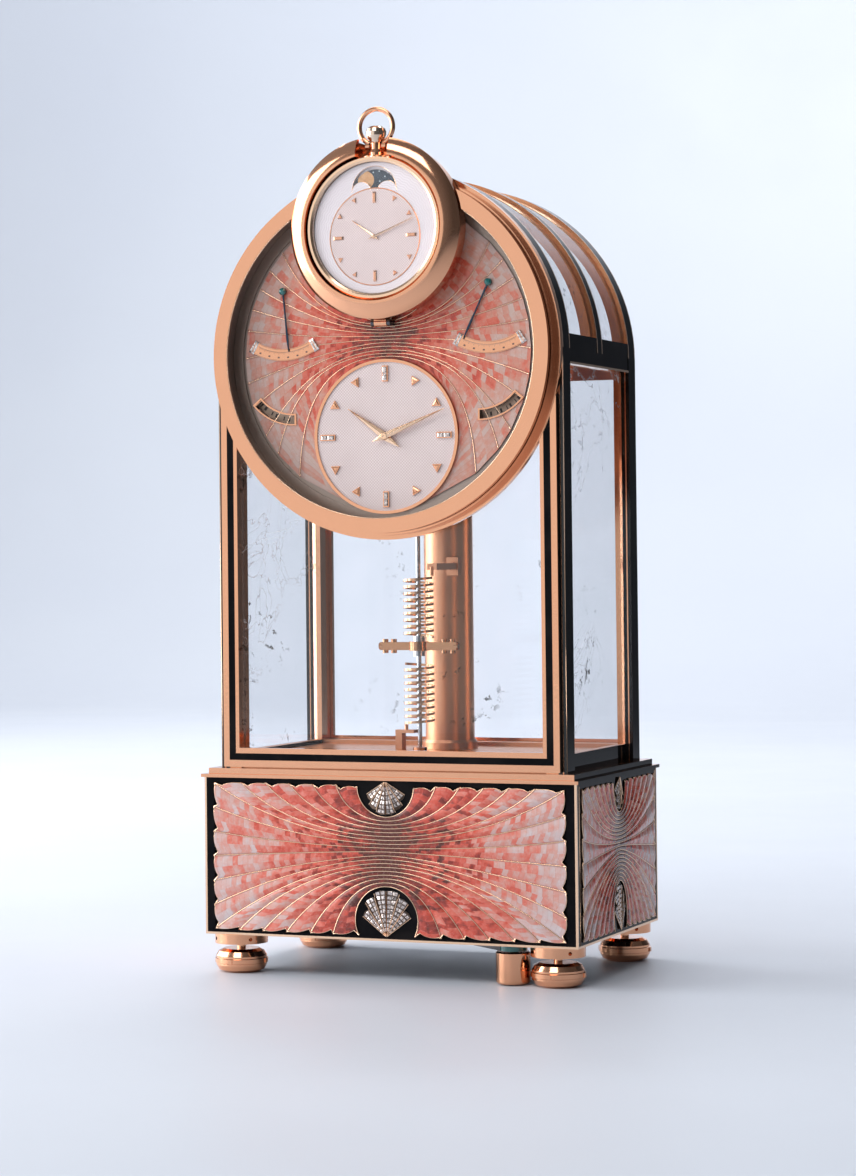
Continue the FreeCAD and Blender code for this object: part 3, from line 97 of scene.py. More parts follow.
# the plinth's middle, in the row frame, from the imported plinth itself
low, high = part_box("plinth_mouldings")
MIDDLE_Y = (low[1] + high[1]) / 2


def metres(points):
    out = np.asarray(points, float).reshape(-1, 3) / 1000.0
    out[:, 1] += MIDDLE_Y
    return out


# ---- node-tree helpers ---------------------------------------------------------------------
class Tree:
    """A material under construction."""

    def __init__(self, name):
        self.material = bpy.data.materials.new(name)
        self.material.use_nodes = True
        self.nt = self.material.node_tree
        self.shader = self.nt.nodes["Principled BSDF"]
        self.out = self.nt.nodes["Material Output"]

    def put(self, socket, value):
        """Link a socket to the node's input, or give the input a plain value."""
        if isinstance(value, bpy.types.NodeSocket):
            self.nt.links.new(value, socket)
        else:
            socket.default_value = value

    def node(self, kind, values=(), **settings):
        made = self.nt.nodes.new("ShaderNode" + kind)
        for key, value in settings.items():
            setattr(made, key, value)
        for key, value in dict(values).items():
            self.put(made.inputs[key], value)
        return made

    def where(self):
        return self.node("TexCoord").outputs["Object"]

    def calc(self, operation, a, b=None):
        values = {0: a} if b is None else {0: a, 1: b}
        return self.node("Math", values, operation=operation).outputs[0]

    def noise(self, scale, detail=3.0, vector=None, distortion=0.0):
        values = {"Vector": vector or self.where(), "Scale": scale, "Detail": detail,
                  "Distortion": distortion, "Roughness": 0.55}
        return self.node("TexNoise", values).outputs[0]

    def ramp(self, fac, *stops):
        made = self.node("ValToRGB", {0: fac})
        band = made.color_ramp
        while len(band.elements) < len(stops):
            band.elements.new(0.5)
        for element, (place, colour) in zip(band.elements, stops):
            element.position = place
            element.color = (*colour, 1.0)
        return made.outputs[0]

    def grey(self, fac, low_in, high_in, low_out=0.0, high_out=1.0):
        values = {"Value": fac, "From Min": low_in, "From Max": high_in,
                  "To Min": low_out, "To Max": high_out}
        return self.node("MapRange", values).outputs[0]

    def blend(self, fac, a, b):
        made = self.node("Mix", data_type="RGBA")
        for index, value in ((0, fac), (6, a), (7, b)):
            if isinstance(value, tuple):
                value = (*value, 1.0)
            self.put(made.inputs[index], value)
        return made.outputs[2]

    def bump(self, height, distance, strength=1.0):
        made = self.node("Bump", {"Height": height, "Distance": distance, "Strength": strength})
        self.put(self.shader.inputs["Normal"], made.outputs[0])

    def set(self, **values):
        for key, value in values.items():
            if isinstance(value, tuple):
                value = (*value, 1.0)
            self.put(self.shader.inputs[key.replace("_", " ")], value)

    def looking_through(self):
        """1 for a line of sight, also beyond a first pane; 0 for lamp light and reflections."""
        path = self.node("LightPath").outputs
        return self.calc("MAXIMUM", path["Is Camera Ray"], path["Is Transmission Ray"])

    def parts(self):
        return self.node("SeparateXYZ", {0: self.where()}).outputs

    def inside(self, x, z, radius):
        """1 inside a circle of the front plane, 0 outside, in millimetres, with a soft edge."""
        px, _, pz = self.parts()
        dx = self.calc("SUBTRACT", px, x / 1000)
        dz = self.calc("SUBTRACT", pz, z / 1000)
        squares = self.calc("ADD", self.calc("MULTIPLY", dx, dx), self.calc("MULTIPLY", dz, dz))
        away = self.calc("SQRT", squares)
        return self.grey(away, (radius + 0.06) / 1000, (radius - 0.06) / 1000)

    def polar(self, x, z):
        """Clockwise angle from straight up, and distance in millimetres, round a point."""
        px, _, pz = self.parts()
        dx = self.calc("MULTIPLY", self.calc("SUBTRACT", px, x / 1000), 1000.0)
        dz = self.calc("MULTIPLY", self.calc("SUBTRACT", pz, z / 1000), 1000.0)
        squares = self.calc("ADD", self.calc("MULTIPLY", dx, dx), self.calc("MULTIPLY", dz, dz))
        return self.calc("ARCTAN2", dx, dz), self.calc("SQRT", squares)


# ---- materials -----------------------------------------------------------------------------
def metal(name, colour, rough, brushed=None, wear=0.22):
    """Metal with a faint cloud in its colour and wear in its polish."""
    t = Tree(name)
    dark = tuple(c * 0.95 for c in colour)
    t.set(Metallic=1.0, Base_Color=t.blend(t.noise(140.0, 2.0), dark, colour))
    t.set(Roughness=t.grey(t.noise(900.0), 0.3, 0.7, rough * (1 - wear), rough * (1 + wear)))
    if brushed:
        mapped = t.node("Mapping", {0: t.where(), "Scale": brushed}).outputs[0]
        t.bump(t.noise(1.0, 4.0, vector=mapped), 0.00004, 0.5)
    return t.material


def onyx_material():
    t = Tree("polished_onyx")
    cloud = t.noise(60.0, 5.0, distortion=0.8)
    t.set(Base_Color=t.ramp(cloud, (0.42, (0.003, 0.003, 0.004)), (0.75, (0.012, 0.010, 0.010))))
    t.set(Roughness=t.grey(t.noise(500.0), 0.3, 0.7, 0.03, 0.07), Specular_IOR_Level=0.06)
    return t.material


def tinted(colour, tint):
    return tuple(a * b for a, b in zip(colour, tint))


# shell colours from a panel's dark middle (0) to its pale rim (1)
SHELL_STOPS = ((0.0, (0.10, 0.016, 0.009)), (0.09, (0.30, 0.032, 0.018)),
               (0.20, (0.62, 0.075, 0.042)), (0.36, (0.72, 0.185, 0.130)),
               (0.54, (0.67, 0.36, 0.305)), (0.78, (0.64, 0.53, 0.53)))
TILE_ROWS = 2.0


def shell_material(name, tile_length, tint=(1.0, 1.0, 1.0)):
    """Tiles of pink shell; the strip UV holds the length along a strip and the strip's number."""
    t = Tree(name)
    uv = t.node("SeparateXYZ", {0: t.node("UVMap", uv_map="strip").outputs[0]}).outputs
    reach = t.node("Attribute", attribute_name="reach").outputs["Fac"]
    row = t.calc("FLOOR", t.calc("MULTIPLY", uv[1], TILE_ROWS))
    shift = t.node("TexWhiteNoise", {"W": row}, noise_dimensions="1D").outputs[0]
    place = t.calc("ADD", t.calc("DIVIDE", uv[0], tile_length), t.calc("MULTIPLY", shift, 9.0))
    key = t.node("CombineXYZ", {0: t.calc("FLOOR", place), 1: row}).outputs[0]
    each = t.node("TexWhiteNoise", {"Vector": key}, noise_dimensions="2D").outputs[0]
    fine = t.noise(1100.0, 3.0)
    tone = t.calc("MULTIPLY", t.calc("SUBTRACT", reach, 0.06), 0.68)
    change = 0.0
    marks = (each, 0.34), (t.noise(80.0, 3.0), 0.55), (t.noise(360.0, 2.0), 0.45), (fine, 0.12)
    for value, weight in marks:
        change = t.calc("ADD", change, t.calc("MULTIPLY", t.calc("SUBTRACT", value, 0.5), weight))
    tone = t.calc("ADD", tone, t.calc("MULTIPLY", change, t.grey(reach, 0.0, 0.5, 0.25, 1.0)))
    colour = t.ramp(tone, *[(place_on, tinted(rgb, tint)) for place_on, rgb in SHELL_STOPS])
    joint = t.calc("LESS_THAN", t.calc("FRACT", place), 0.08)
    side = t.calc("ABSOLUTE", t.calc("SUBTRACT", t.calc("FRACT", uv[1]), 0.5))
    colour = t.blend(t.calc("MULTIPLY", joint, 0.25), colour, tinted((0.40, 0.15, 0.12), tint))
    # painted shade: each strip is darkened towards its two ribs, in the creases beside them
    colour = t.blend(t.grey(side, 0.40, 0.5, 0.0, 0.5), colour, tinted((0.22, 0.05, 0.035), tint))
    t.set(Base_Color=colour, Roughness=t.grey(fine, 0.3, 0.7, 0.16, 0.30), Coat_Weight=0.3,
          Coat_Roughness=0.06)
    t.bump(t.calc("ADD", fine, t.calc("MULTIPLY", joint, -0.6)), 0.00006, 0.5)
    return t.material


def crystal_material(name, flecks):
    """Rock crystal with white veils and dark specks; lamp light passes straight through it."""
    t = Tree(name)
    veil = t.calc("ABSOLUTE", t.calc("SUBTRACT", t.noise(17.0, 4.0, distortion=1.3), 0.5))
    veil = t.calc("MULTIPLY", t.grey(veil, 0.0, 0.004, 1.0, 0.0), t.grey(t.noise(11.0, 1.0), 0.54, 0.62))
    line = t.calc("ABSOLUTE", t.calc("SUBTRACT", t.noise(13.0, 2.0, distortion=0.9), 0.47))
    line = t.calc("MULTIPLY", t.grey(line, 0.0, 0.018, 1.0, 0.0), t.grey(t.noise(23.0, 1.0), 0.5, 0.6))
    specks = t.calc("MULTIPLY", line, t.grey(t.noise(330.0, 2.0), 0.58, 0.62))
    t.set(Base_Color=t.ramp(t.noise(60.0), (0.3, (0.96, 0.97, 0.98)), (0.7, (0.99, 0.99, 1.0))))
    t.set(Roughness=0.0, IOR=1.3, Transmission_Weight=1.0)
    white = t.node("BsdfDiffuse", {"Color": (0.85, 0.85, 0.86, 1.0)})
    dark = t.node("BsdfDiffuse", {"Color": t.ramp(t.noise(400.0), (0.4, (0.03, 0.025, 0.02)),
                                                  (0.7, (0.16, 0.13, 0.10)))})
    clear = t.node("BsdfTransparent", {"Color": (0.95, 0.96, 0.97, 1.0)})
    glass = t.node("MixShader", {0: t.looking_through(), 1: clear.outputs[0], 2: t.shader.outputs[0]})
    veiled = t.node("MixShader", {0: t.calc("MULTIPLY", veil, 0.6 * flecks), 1: glass.outputs[0],
                                  2: white.outputs[0]})
    whole = t.node("MixShader", {0: t.calc("MULTIPLY", specks, flecks), 1: veiled.outputs[0],
                                 2: dark.outputs[0]})
    t.put(t.out.inputs["Surface"], whole.outputs[0])
    return t.material


def watch_glass_material():
    t = Tree("watch_glass_clear")
    t.set(Base_Color=t.ramp(t.noise(50.0), (0.3, (0.98, 0.98, 0.98)), (0.7, (1.0, 1.0, 1.0))))
    t.set(Roughness=0.0, IOR=1.45, Transmission_Weight=1.0)
    clear = t.node("BsdfTransparent", {"Color": (0.97, 0.97, 0.97, 1.0)})
    whole = t.node("MixShader", {0: t.looking_through(), 1: clear.outputs[0], 2: t.shader.outputs[0]})
    t.put(t.out.inputs["Surface"], whole.outputs[0])
    return t.material


def diamond_material():
    t = Tree("cut_stones")
    cells = t.node("TexVoronoi", {"Vector": t.where(), "Scale": 900.0})
    fine = t.noise(1500.0, 2.0)
    colour = t.ramp(fine, (0.35, (0.34, 0.27, 0.25)), (0.65, (0.86, 0.78, 0.74)))
    t.set(Base_Color=colour, Metallic=0.8, Coat_Weight=0.8, Coat_Roughness=0.02,
          Roughness=t.grey(cells.outputs["Distance"], 0.0, 0.8, 0.08, 0.22))
    t.bump(cells.outputs["Distance"], 0.00008, 0.3)
    return t.material


def guilloche_material(name, pitch, pale, shade, centre=None):
    """Engraved barleycorn ground; with a centre, fine waves run round it instead."""
    t = Tree(name)
    px, _, pz = t.parts()
    turn = 2 * math.pi / (pitch / 1000)
    if centre:
        angle, away = t.polar(*centre)
        sway = t.calc("MULTIPLY", t.calc("SINE", t.calc("MULTIPLY", angle, 40.0)), 1.4)
        wave = t.calc("SINE", t.calc("ADD", t.calc("MULTIPLY", away, 7.0), sway))
        height = t.grey(wave, -1.0, 1.0)
    else:
        a = t.calc("SINE", t.calc("MULTIPLY", px, turn))
        b = t.calc("SINE", t.calc("MULTIPLY", pz, turn))
        height = t.grey(t.calc("MULTIPLY", a, b), -0.8, 0.8)
    cloud = t.noise(70.0, 2.0)
    ground = t.blend(t.grey(cloud, 0.35, 0.65), pale, tuple(c * 0.93 for c in pale))
    # the engraving's hollows take the shade colour: painted shade in the grooves
    t.set(Base_Color=t.blend(height, shade, ground), Roughness=0.34, Metallic=0.15,
          Coat_Weight=0.3, Coat_Roughness=0.1)
    t.bump(height, 0.00003, 0.6)
    return t.material


def moon_material():
    """Night sky with two golden moons and a few stars."""
    t = Tree("moon_sky")
    colour = t.ramp(t.noise(250.0, 3.0), (0.35, (0.010, 0.022, 0.040)), (0.7, (0.030, 0.055, 0.085)))
    for x, z in ((1.7, 8.3), (3.9, 6.3), (1.9, 4.7), (5.0, 7.6), (-0.6, 8.0), (6.2, 4.4),
                 (-2.0, -7.8), (-4.5, -6.0), (-1.5, -4.4), (-6.4, -3.6), (7.2, 1.0), (-7.0, 1.5)):
        colour = t.blend(t.inside(x, MOON_Z + z, 0.24), colour, (0.75, 0.85, 0.9))
    moon = t.ramp(t.noise(600.0, 4.0), (0.3, (0.66, 0.32, 0.13)), (0.7, (0.84, 0.50, 0.25)))
    for sign in (-1, 1):
        colour = t.blend(t.inside(sign * 3.5, MOON_Z - sign * 5.3, 3.15), colour, moon)
    t.set(Base_Color=colour, Roughness=0.25, Coat_Weight=0.4, Coat_Roughness=0.05)
    return t.material


def calendar_material(name, x, marks):
    """Pale disc with plain dark marks round it, long ones and short ones in turn."""
    t = Tree(name)
    angle, away = t.polar(x, CALENDAR[1])
    place = t.calc("FRACT", t.calc("MULTIPLY", angle, marks / (2 * math.pi)))
    bars = t.calc("LESS_THAN", t.calc("PINGPONG", t.calc("MULTIPLY", place, 3.0), 1.0), 0.30)
    gap = t.calc("LESS_THAN", place, 0.80)
    near, far = CALENDAR_MARKS
    band = t.calc("MULTIPLY", t.calc("GREATER_THAN", away, near), t.calc("LESS_THAN", away, far))
    mask = t.calc("MULTIPLY", t.calc("MULTIPLY", bars, gap), band)
    ground = t.ramp(t.noise(300.0), (0.3, (0.34, 0.24, 0.18)), (0.7, (0.52, 0.38, 0.28)))
    t.set(Base_Color=t.blend(mask, ground, (0.03, 0.02, 0.02)), Roughness=0.35, Metallic=0.3)
    return t.material


def post_material():
    """Gold post whose outer edge is onyx with one fine gold line."""
    t = Tree("gold_and_onyx_post")
    out = t.calc("MULTIPLY", t.calc("ABSOLUTE", t.parts()[0]), 1000.0)
    line = t.calc("LESS_THAN", t.calc("ABSOLUTE", t.calc("SUBTRACT", out, POST_LINE_X)), 0.2)
    black = t.calc("MULTIPLY", t.calc("GREATER_THAN", out, POST_BLACK_X), t.calc("SUBTRACT", 1.0, line))
    gold = t.blend(t.noise(140.0, 2.0), (0.74, 0.38, 0.22), (0.80, 0.42, 0.25))
    t.set(Base_Color=t.blend(black, gold, (0.006, 0.005, 0.005)),
          Metallic=t.calc("SUBTRACT", 1.0, black), Roughness=t.grey(t.noise(900.0), 0.3, 0.7, 0.14, 0.2))
    return t.material


def enamel_material(name, colour, rough=0.08):
    t = Tree(name)
    dark = tuple(c * 0.6 for c in colour)
    t.set(Base_Color=t.blend(t.noise(700.0, 3.0), dark, colour), Roughness=rough, Coat_Weight=1.0,
          Coat_Roughness=0.03)
    return t.material


def floor_material():
    t = Tree("studio_floor")
    pale = t.ramp(t.noise(1.6, 2.0), (0.3, (0.60, 0.64, 0.72)), (0.7, (0.64, 0.68, 0.75)))
    x, y, _ = t.parts()
    # painted shade: the sweep is darkened towards the back right, so the clock's right side faces dark
    # surroundings
    back_right_shade = t.calc("MULTIPLY", t.grey(x, 0.0, 0.7), t.grey(y, 0.5, 1.4))
    t.set(Base_Color=t.blend(back_right_shade, pale, (0.11, 0.12, 0.14)))
    t.set(Roughness=t.grey(t.noise(9.0), 0.3, 0.7, 0.42, 0.55))
    return t.material


GOLD = metal("polished_rose_gold", (0.83, 0.42, 0.25), 0.13)
BRIGHT = metal("gold_wire", (0.92, 0.62, 0.42), 0.18)
SATIN = metal("satin_rose_gold", (0.72, 0.36, 0.21), 0.34, wear=0.03)
SPRING = metal("spring_ribbon", (0.70, 0.41, 0.25), 0.22)
BAR = metal("balance_bar_gold", (0.52, 0.27, 0.15), 0.2)
BRASS = metal("brushed_brass", (0.72, 0.52, 0.26), 0.28, brushed=(1500.0, 90.0, 90.0))
STEEL = metal("polished_steel", (0.55, 0.55, 0.57), 0.16)
DARK_STEEL = metal("dark_polished_steel", (0.10, 0.10, 0.11), 0.15)
BLUED = metal("blued_steel_hand", (0.030, 0.055, 0.085), 0.16)
ONYX = onyx_material()
SHELL = shell_material("coral_shell_tiles", 2.1)
# the dial's shell is the tile shell made darker and warmer: painted warm reflection and shade
DIAL_SHELL = shell_material("coral_shell_dial", 2.2, (0.88, 0.74, 0.64))
CRYSTAL = crystal_material("rock_crystal_pane", 1.0)
CLEAR = crystal_material("rock_crystal_roof", 0.4)
GLASS = watch_glass_material()
STONE = diamond_material()
GUILLOCHE = guilloche_material("engraved_time_dial", 1.1, (0.84, 0.74, 0.72), (0.60, 0.45, 0.43))
WATCH_HATCH = guilloche_material("engraved_watch_dial", 0.95, (0.92, 0.77, 0.75), (0.70, 0.53, 0.51))
WATCH_GROUND = guilloche_material("engraved_watch_ring", 0.62, (0.95, 0.87, 0.90), (0.84, 0.75, 0.78),
                                  (0.0, WATCH_HANDS_Z))
MOON = moon_material()
MONTHS = calendar_material("month_disc_marks", -CALENDAR[0], 24)
DATES = calendar_material("date_disc_marks", CALENDAR[0], 31)
TEAL = enamel_material("teal_cabochon", (0.0, 0.16, 0.15))
POST = post_material()
# darker, greyer metal for the drum's recess (inner walls, border ring and dial plate): painted shade of the
# recess
RECESS_SHADE = metal("recess_shade_metal", (0.36, 0.29, 0.25), 0.42)
CROWN = metal("pale_gold_crown", (0.78, 0.60, 0.47), 0.14)
SETTING = metal("dark_setting", (0.10, 0.07, 0.055), 0.3)
INK = enamel_material("engraved_ink", (0.16, 0.06, 0.03), 0.4)


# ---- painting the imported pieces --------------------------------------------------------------
def faces_of(mesh):
    """Centre in millimetres (depth from the plinth's middle) and normal of every face."""
    count = len(mesh.polygons)
    centre = np.empty(count * 3)
    normal = np.empty(count * 3)
    mesh.polygons.foreach_get("center", centre)
    mesh.polygons.foreach_get("normal", normal)
    centre = centre.reshape(-1, 3)
    centre[:, 1] -= MIDDLE_Y
    return centre * 1000.0, normal.reshape(-1, 3)


def paint(node, base, *rules):
    """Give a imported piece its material, and other materials where a rule's test holds."""
    mesh = NODES[node].data
    mesh.materials.clear()
    for material in (base, *[rule[0] for rule in rules]):
        mesh.materials.append(material)
    centre, normal = faces_of(mesh)
    index = np.zeros(len(centre), np.int32)
    for number, (_, test) in enumerate(rules, 1):
        index[test(centre, normal)] = number
    mesh.polygons.foreach_set("material_index", index)


def sideways(centre, normal):
    return np.abs(normal[:, 0]) > 0.9


def from_drum_axis(centre):
    return np.hypot(centre[:, 0], centre[:, 2] - DIAL_Z)


def facing_in(centre, normal):
    """Faces of the drum's inner walls."""
    return centre[:, 0] * normal[:, 0] + (centre[:, 2] - DIAL_Z) * normal[:, 2] < -1.0


def hub_stone(centre, normal):
    return centre[:, 1] < HUB_STONE_FRONT


def from_lock_axis(centre):
    return np.hypot(centre[:, 0] - LOCK_KNOB[0], centre[:, 1] - LOCK_KNOB[1])


def lock_knob(centre, normal):
    return (from_lock_axis(centre) < LOCK_KNOB_R) & (centre[:, 2] < LOCK_KNOB_TOP)


def lock_collar(centre, normal):
    """The side of the collar above the knob."""
    above = centre[:, 2] > LOCK_KNOB_TOP + 0.05
    return (from_lock_axis(centre) < LOCK_COLLAR_R) & above & (np.abs(normal[:, 2]) < 0.5)


PLAIN = {
    "plinth_slabs": ONYX, "gold_trims": BRIGHT, "plinth_floor": DARK_STEEL,
    "foot_flanges": GOLD, "onyx_strips": ONYX,
    "case_crystals": CRYSTAL, "roof_frame": ONYX, "roof_crystals": CLEAR,
    "rear_door_frame": GOLD, "rear_door_crystal": CLEAR, "door_hinges": GOLD,
    # the dial plate takes the recess metal: painted shade
    "movement_housing": SATIN, "dial_plate": RECESS_SHADE,
    "dial_shell_inlay": DIAL_SHELL, "centre_wheel": BRASS, "minute_wheel": BRASS,
    "intermediate_wheel": BRASS, "mainspring_barrel": BRASS, "winding_arbor": STEEL,
    "third_wheel": BRASS, "escape_wheel": BRASS, "pallet_lever": STEEL,
    "movement_frame": BRASS, "balance_staff": STEEL, "balance_bar": BAR,
    "balance_springs": SPRING, "support_column": SATIN, "cradle_ring": GOLD,
    "cradle_hinge": DARK_STEEL, "watch_case": GOLD, "watch_bezel": BRIGHT,
    "watch_crystal": GLASS, "moon_disc": MOON, "month_disc": MONTHS, "date_disc": DATES,
    "watch_crown": CROWN, "watch_bow": GOLD, "foot_screw_front_left": GOLD,
    "foot_screw_front_right": GOLD, "foot_screw_rear_left": GOLD,
    "foot_screw_rear_right": GOLD,
}
for node, material in PLAIN.items():
    paint(node, material)

paint("plinth_mouldings", GOLD, (ONYX, sideways))
paint("corner_posts", POST, (ONYX, lambda c, n: (np.abs(c[:, 0]) > POST_SIDE_X) & sideways(c, n)))
paint("case_floor", SATIN, (ONYX, sideways))
paint("front_frame", GOLD, (ONYX, lambda c, n: (np.abs(c[:, 0]) > SIDE_RAIL_X) & sideways(c, n)))
# the drum's inner walls and the border inside BORDER_R take the recess metal: painted shade
paint("drum_bezel", GOLD, (RECESS_SHADE, facing_in))
paint("drum_shell", GOLD, (RECESS_SHADE, facing_in))
paint("drum_rings", GOLD, (RECESS_SHADE, lambda c, n: from_drum_axis(c) < BORDER_R))
paint("time_dial", GOLD,
      (GUILLOCHE, lambda c, n: (np.abs(c[:, 1] - TIME_FACE) < 0.02) & (n[:, 1] < -0.9)))
paint("dial_gauges", GOLD)
paint("reserve_hand", BLUED, (TEAL, hub_stone))
paint("equation_hand", BLUED, (TEAL, hub_stone))
paint("watch_dial", WATCH_GROUND)
paint("transport_lock", DARK_STEEL, (GOLD, lock_knob), (TEAL, lock_collar))


# ---- mesh helpers --------------------------------------------------------------------------
def piece(name, points, faces, body, slot, *materials, smooth=True, index=None, node=None):
    """Mesh object from millimetre points that rides on a body and takes the given materials; slot is not
    used.
    """
    mesh = bpy.data.meshes.new(name)
    mesh.from_pydata(metres(points).tolist(), [], [tuple(f) for f in faces])
    for material in materials:
        mesh.materials.append(material)
    if index is not None:
        mesh.polygons.foreach_set("material_index", np.asarray(index, np.int32))
    mesh.polygons.foreach_set("use_smooth", [smooth] * len(mesh.polygons))
    obj = bpy.data.objects.new(name, mesh)
    bpy.context.scene.collection.objects.link(obj)
    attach(obj, body)
    if node:
        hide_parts(node)
    return obj


class Build:
    """Points and faces collected from several shapes."""

    def __init__(self):
        self.points = []
        self.faces = []
        self.index = []

    def add(self, points, faces, material=0):
        base = len(self.points)
        self.points.extend(np.asarray(points, float).reshape(-1, 3).tolist())
        self.faces.extend([[i + base for i in f] for f in faces])
        self.index.extend([material] * len(faces))

    def moved(self, change):
        """The same shapes with every point passed through change."""
        made = Build()
        made.points = np.asarray([change(p) for p in self.points]).tolist()
        made.faces = self.faces
        made.index = self.index
        return made


def tube(line, radius, depth=1.0, sides=6, closed=False):
    """Round wire along a line that lies nearly in one front plane."""
    line = np.asarray(line, float)
    if closed:
        ahead, behind = np.roll(line, -1, 0), np.roll(line, 1, 0)
    else:
        ahead = np.vstack([line[1:], line[-1:]])
        behind = np.vstack([line[:1], line[:-1]])
    along = ahead - behind
    along /= np.linalg.norm(along, axis=1)[:, None] + 1e-12
    out = np.array([0.0, -1.0, 0.0])
    across = np.cross(along, out)
    across /= np.linalg.norm(across, axis=1)[:, None] + 1e-12
    turns = np.arange(sides) * 2 * math.pi / sides
    rings = (line[:, None] + radius * (np.cos(turns)[None, :, None] * across[:, None]
                                       + depth * np.sin(turns)[None, :, None] * out))
    count = len(line)
    faces = []
    for i in range(count if closed else count - 1):
        j = (i + 1) % count
        for k in range(sides):
            m = (k + 1) % sides
            faces.append([i * sides + k, i * sides + m, j * sides + m, j * sides + k])
    if not closed:
        faces.append(list(range(sides)))
        faces.append([(count - 1) * sides + k for k in reversed(range(sides))])
    return rings.reshape(-1, 3), faces


def prism(outline, y0, y1):
    """Flat plate seen from the front: outline points (x, z), from depth y0 back to y1."""
    count = len(outline)
    points = [(x, y0, z) for x, z in outline] + [(x, y1, z) for x, z in outline]
    faces = [list(range(count)), list(range(2 * count - 1, count - 1, -1))]
    for i in range(count):
        j = (i + 1) % count
        faces.append([j, i, i + count, j + count])
    return points, faces


def gem(outline, y0, y1, inset=0.3):
    """Cut stone: a plate with a smaller raised table."""
    middle = np.mean(outline, axis=0)
    count = len(outline)
    table = [tuple(middle + (np.array(p) - middle) * (1 - inset)) for p in outline]
    points = [(x, y1, z) for x, z in outline] + [(x, (y0 + y1) / 2, z) for x, z in outline]
    points += [(x, y0, z) for x, z in table]
    faces = [[2 * count + i for i in range(count)]]
    for level in (0, count):
        for i in range(count):
            j = (i + 1) % count
            faces.append([level + j, level + i, level + count + i, level + count + j])
    return points, faces


def turned_by(points, angle, x, z):
    """Turn front-plane points clockwise about (x, z)."""
    c, s = math.cos(math.radians(angle)), math.sin(math.radians(angle))
    return [(x + (px - x) * c + (pz - z) * s, z - (px - x) * s + (pz - z) * c) for px, pz in points]


def dial_point(angle, radius, x, z):
    a = math.radians(angle)
    return x + radius * math.sin(a), z + radius * math.cos(a)


# ---- ribbed shell ----------------------------------------------------------------------------
STEPS = 56
ACROSS = 12
SCOOP_AT = 0.84
PALE_AT = 68.0
RIB_PROUD = 0.07
EDGE_PROUD = 0.02
SKIRT = 0.75


def rib(start_z, end, slope, pull):
    """Half rib from (0, start_z), level there, to its end, where it climbs at slope degrees."""
    start, finish = np.array([0.0, start_z]), np.array(end, float)
    rise = finish[1] - start_z
    corner_x = finish[0] - rise / math.tan(math.radians(slope)) if abs(slope) > 3 else finish[0] / 2
    corner = np.array([min(max(corner_x, 0.2 * finish[0]), 1.08 * finish[0]), start_z])
    a = start + (corner - start) * pull
    b = finish + (corner - finish) * pull
    t = np.linspace(0, 1, STEPS)[:, None]
    return (1 - t) ** 3 * start + 3 * (1 - t) ** 2 * t * a + 3 * (1 - t) * t ** 2 * b + t ** 3 * finish


def arc(centre_z, radius, start, end):
    """Arc from a clockwise angle to another, about (0, centre_z)."""
    turns = np.radians(np.linspace(start, end, STEPS))
    return np.stack([radius * np.sin(turns), centre_z + radius * np.cos(turns)], 1)


def scoop(v):
    """Edge of a strip: a rounded lobe, a dip, then out to the outer rib's tip."""
    if v < SCOOP_AT:
        return 0.25 - 0.25 * math.sin(math.pi * v / SCOOP_AT) + 0.9 * (v / SCOOP_AT) ** 2.6
    return 1.15 * ((1 - v) / (1 - SCOOP_AT)) ** 0.7


def strip_grid(first, second, scallop):
    """Points of one strip, (steps, across, 2); its far end is scooped inwards by scallop."""
    v = np.linspace(0, 1, ACROSS + 1)
    grid = first[:, None] * (1 - v)[None, :, None] + second[:, None] * v[None, :, None]
    for k in range(1, ACROSS):
        line = grid[:, k]
        run = np.concatenate([[0], np.cumsum(np.linalg.norm(np.diff(line, axis=0), axis=1))])
        keep = run[-1] - scallop * scoop(v[k])
        places = np.linspace(0, keep, STEPS)
        grid[:, k] = np.stack([np.interp(places, run, line[:, 0]), np.interp(places, run, line[:, 1])], 1)
    return grid


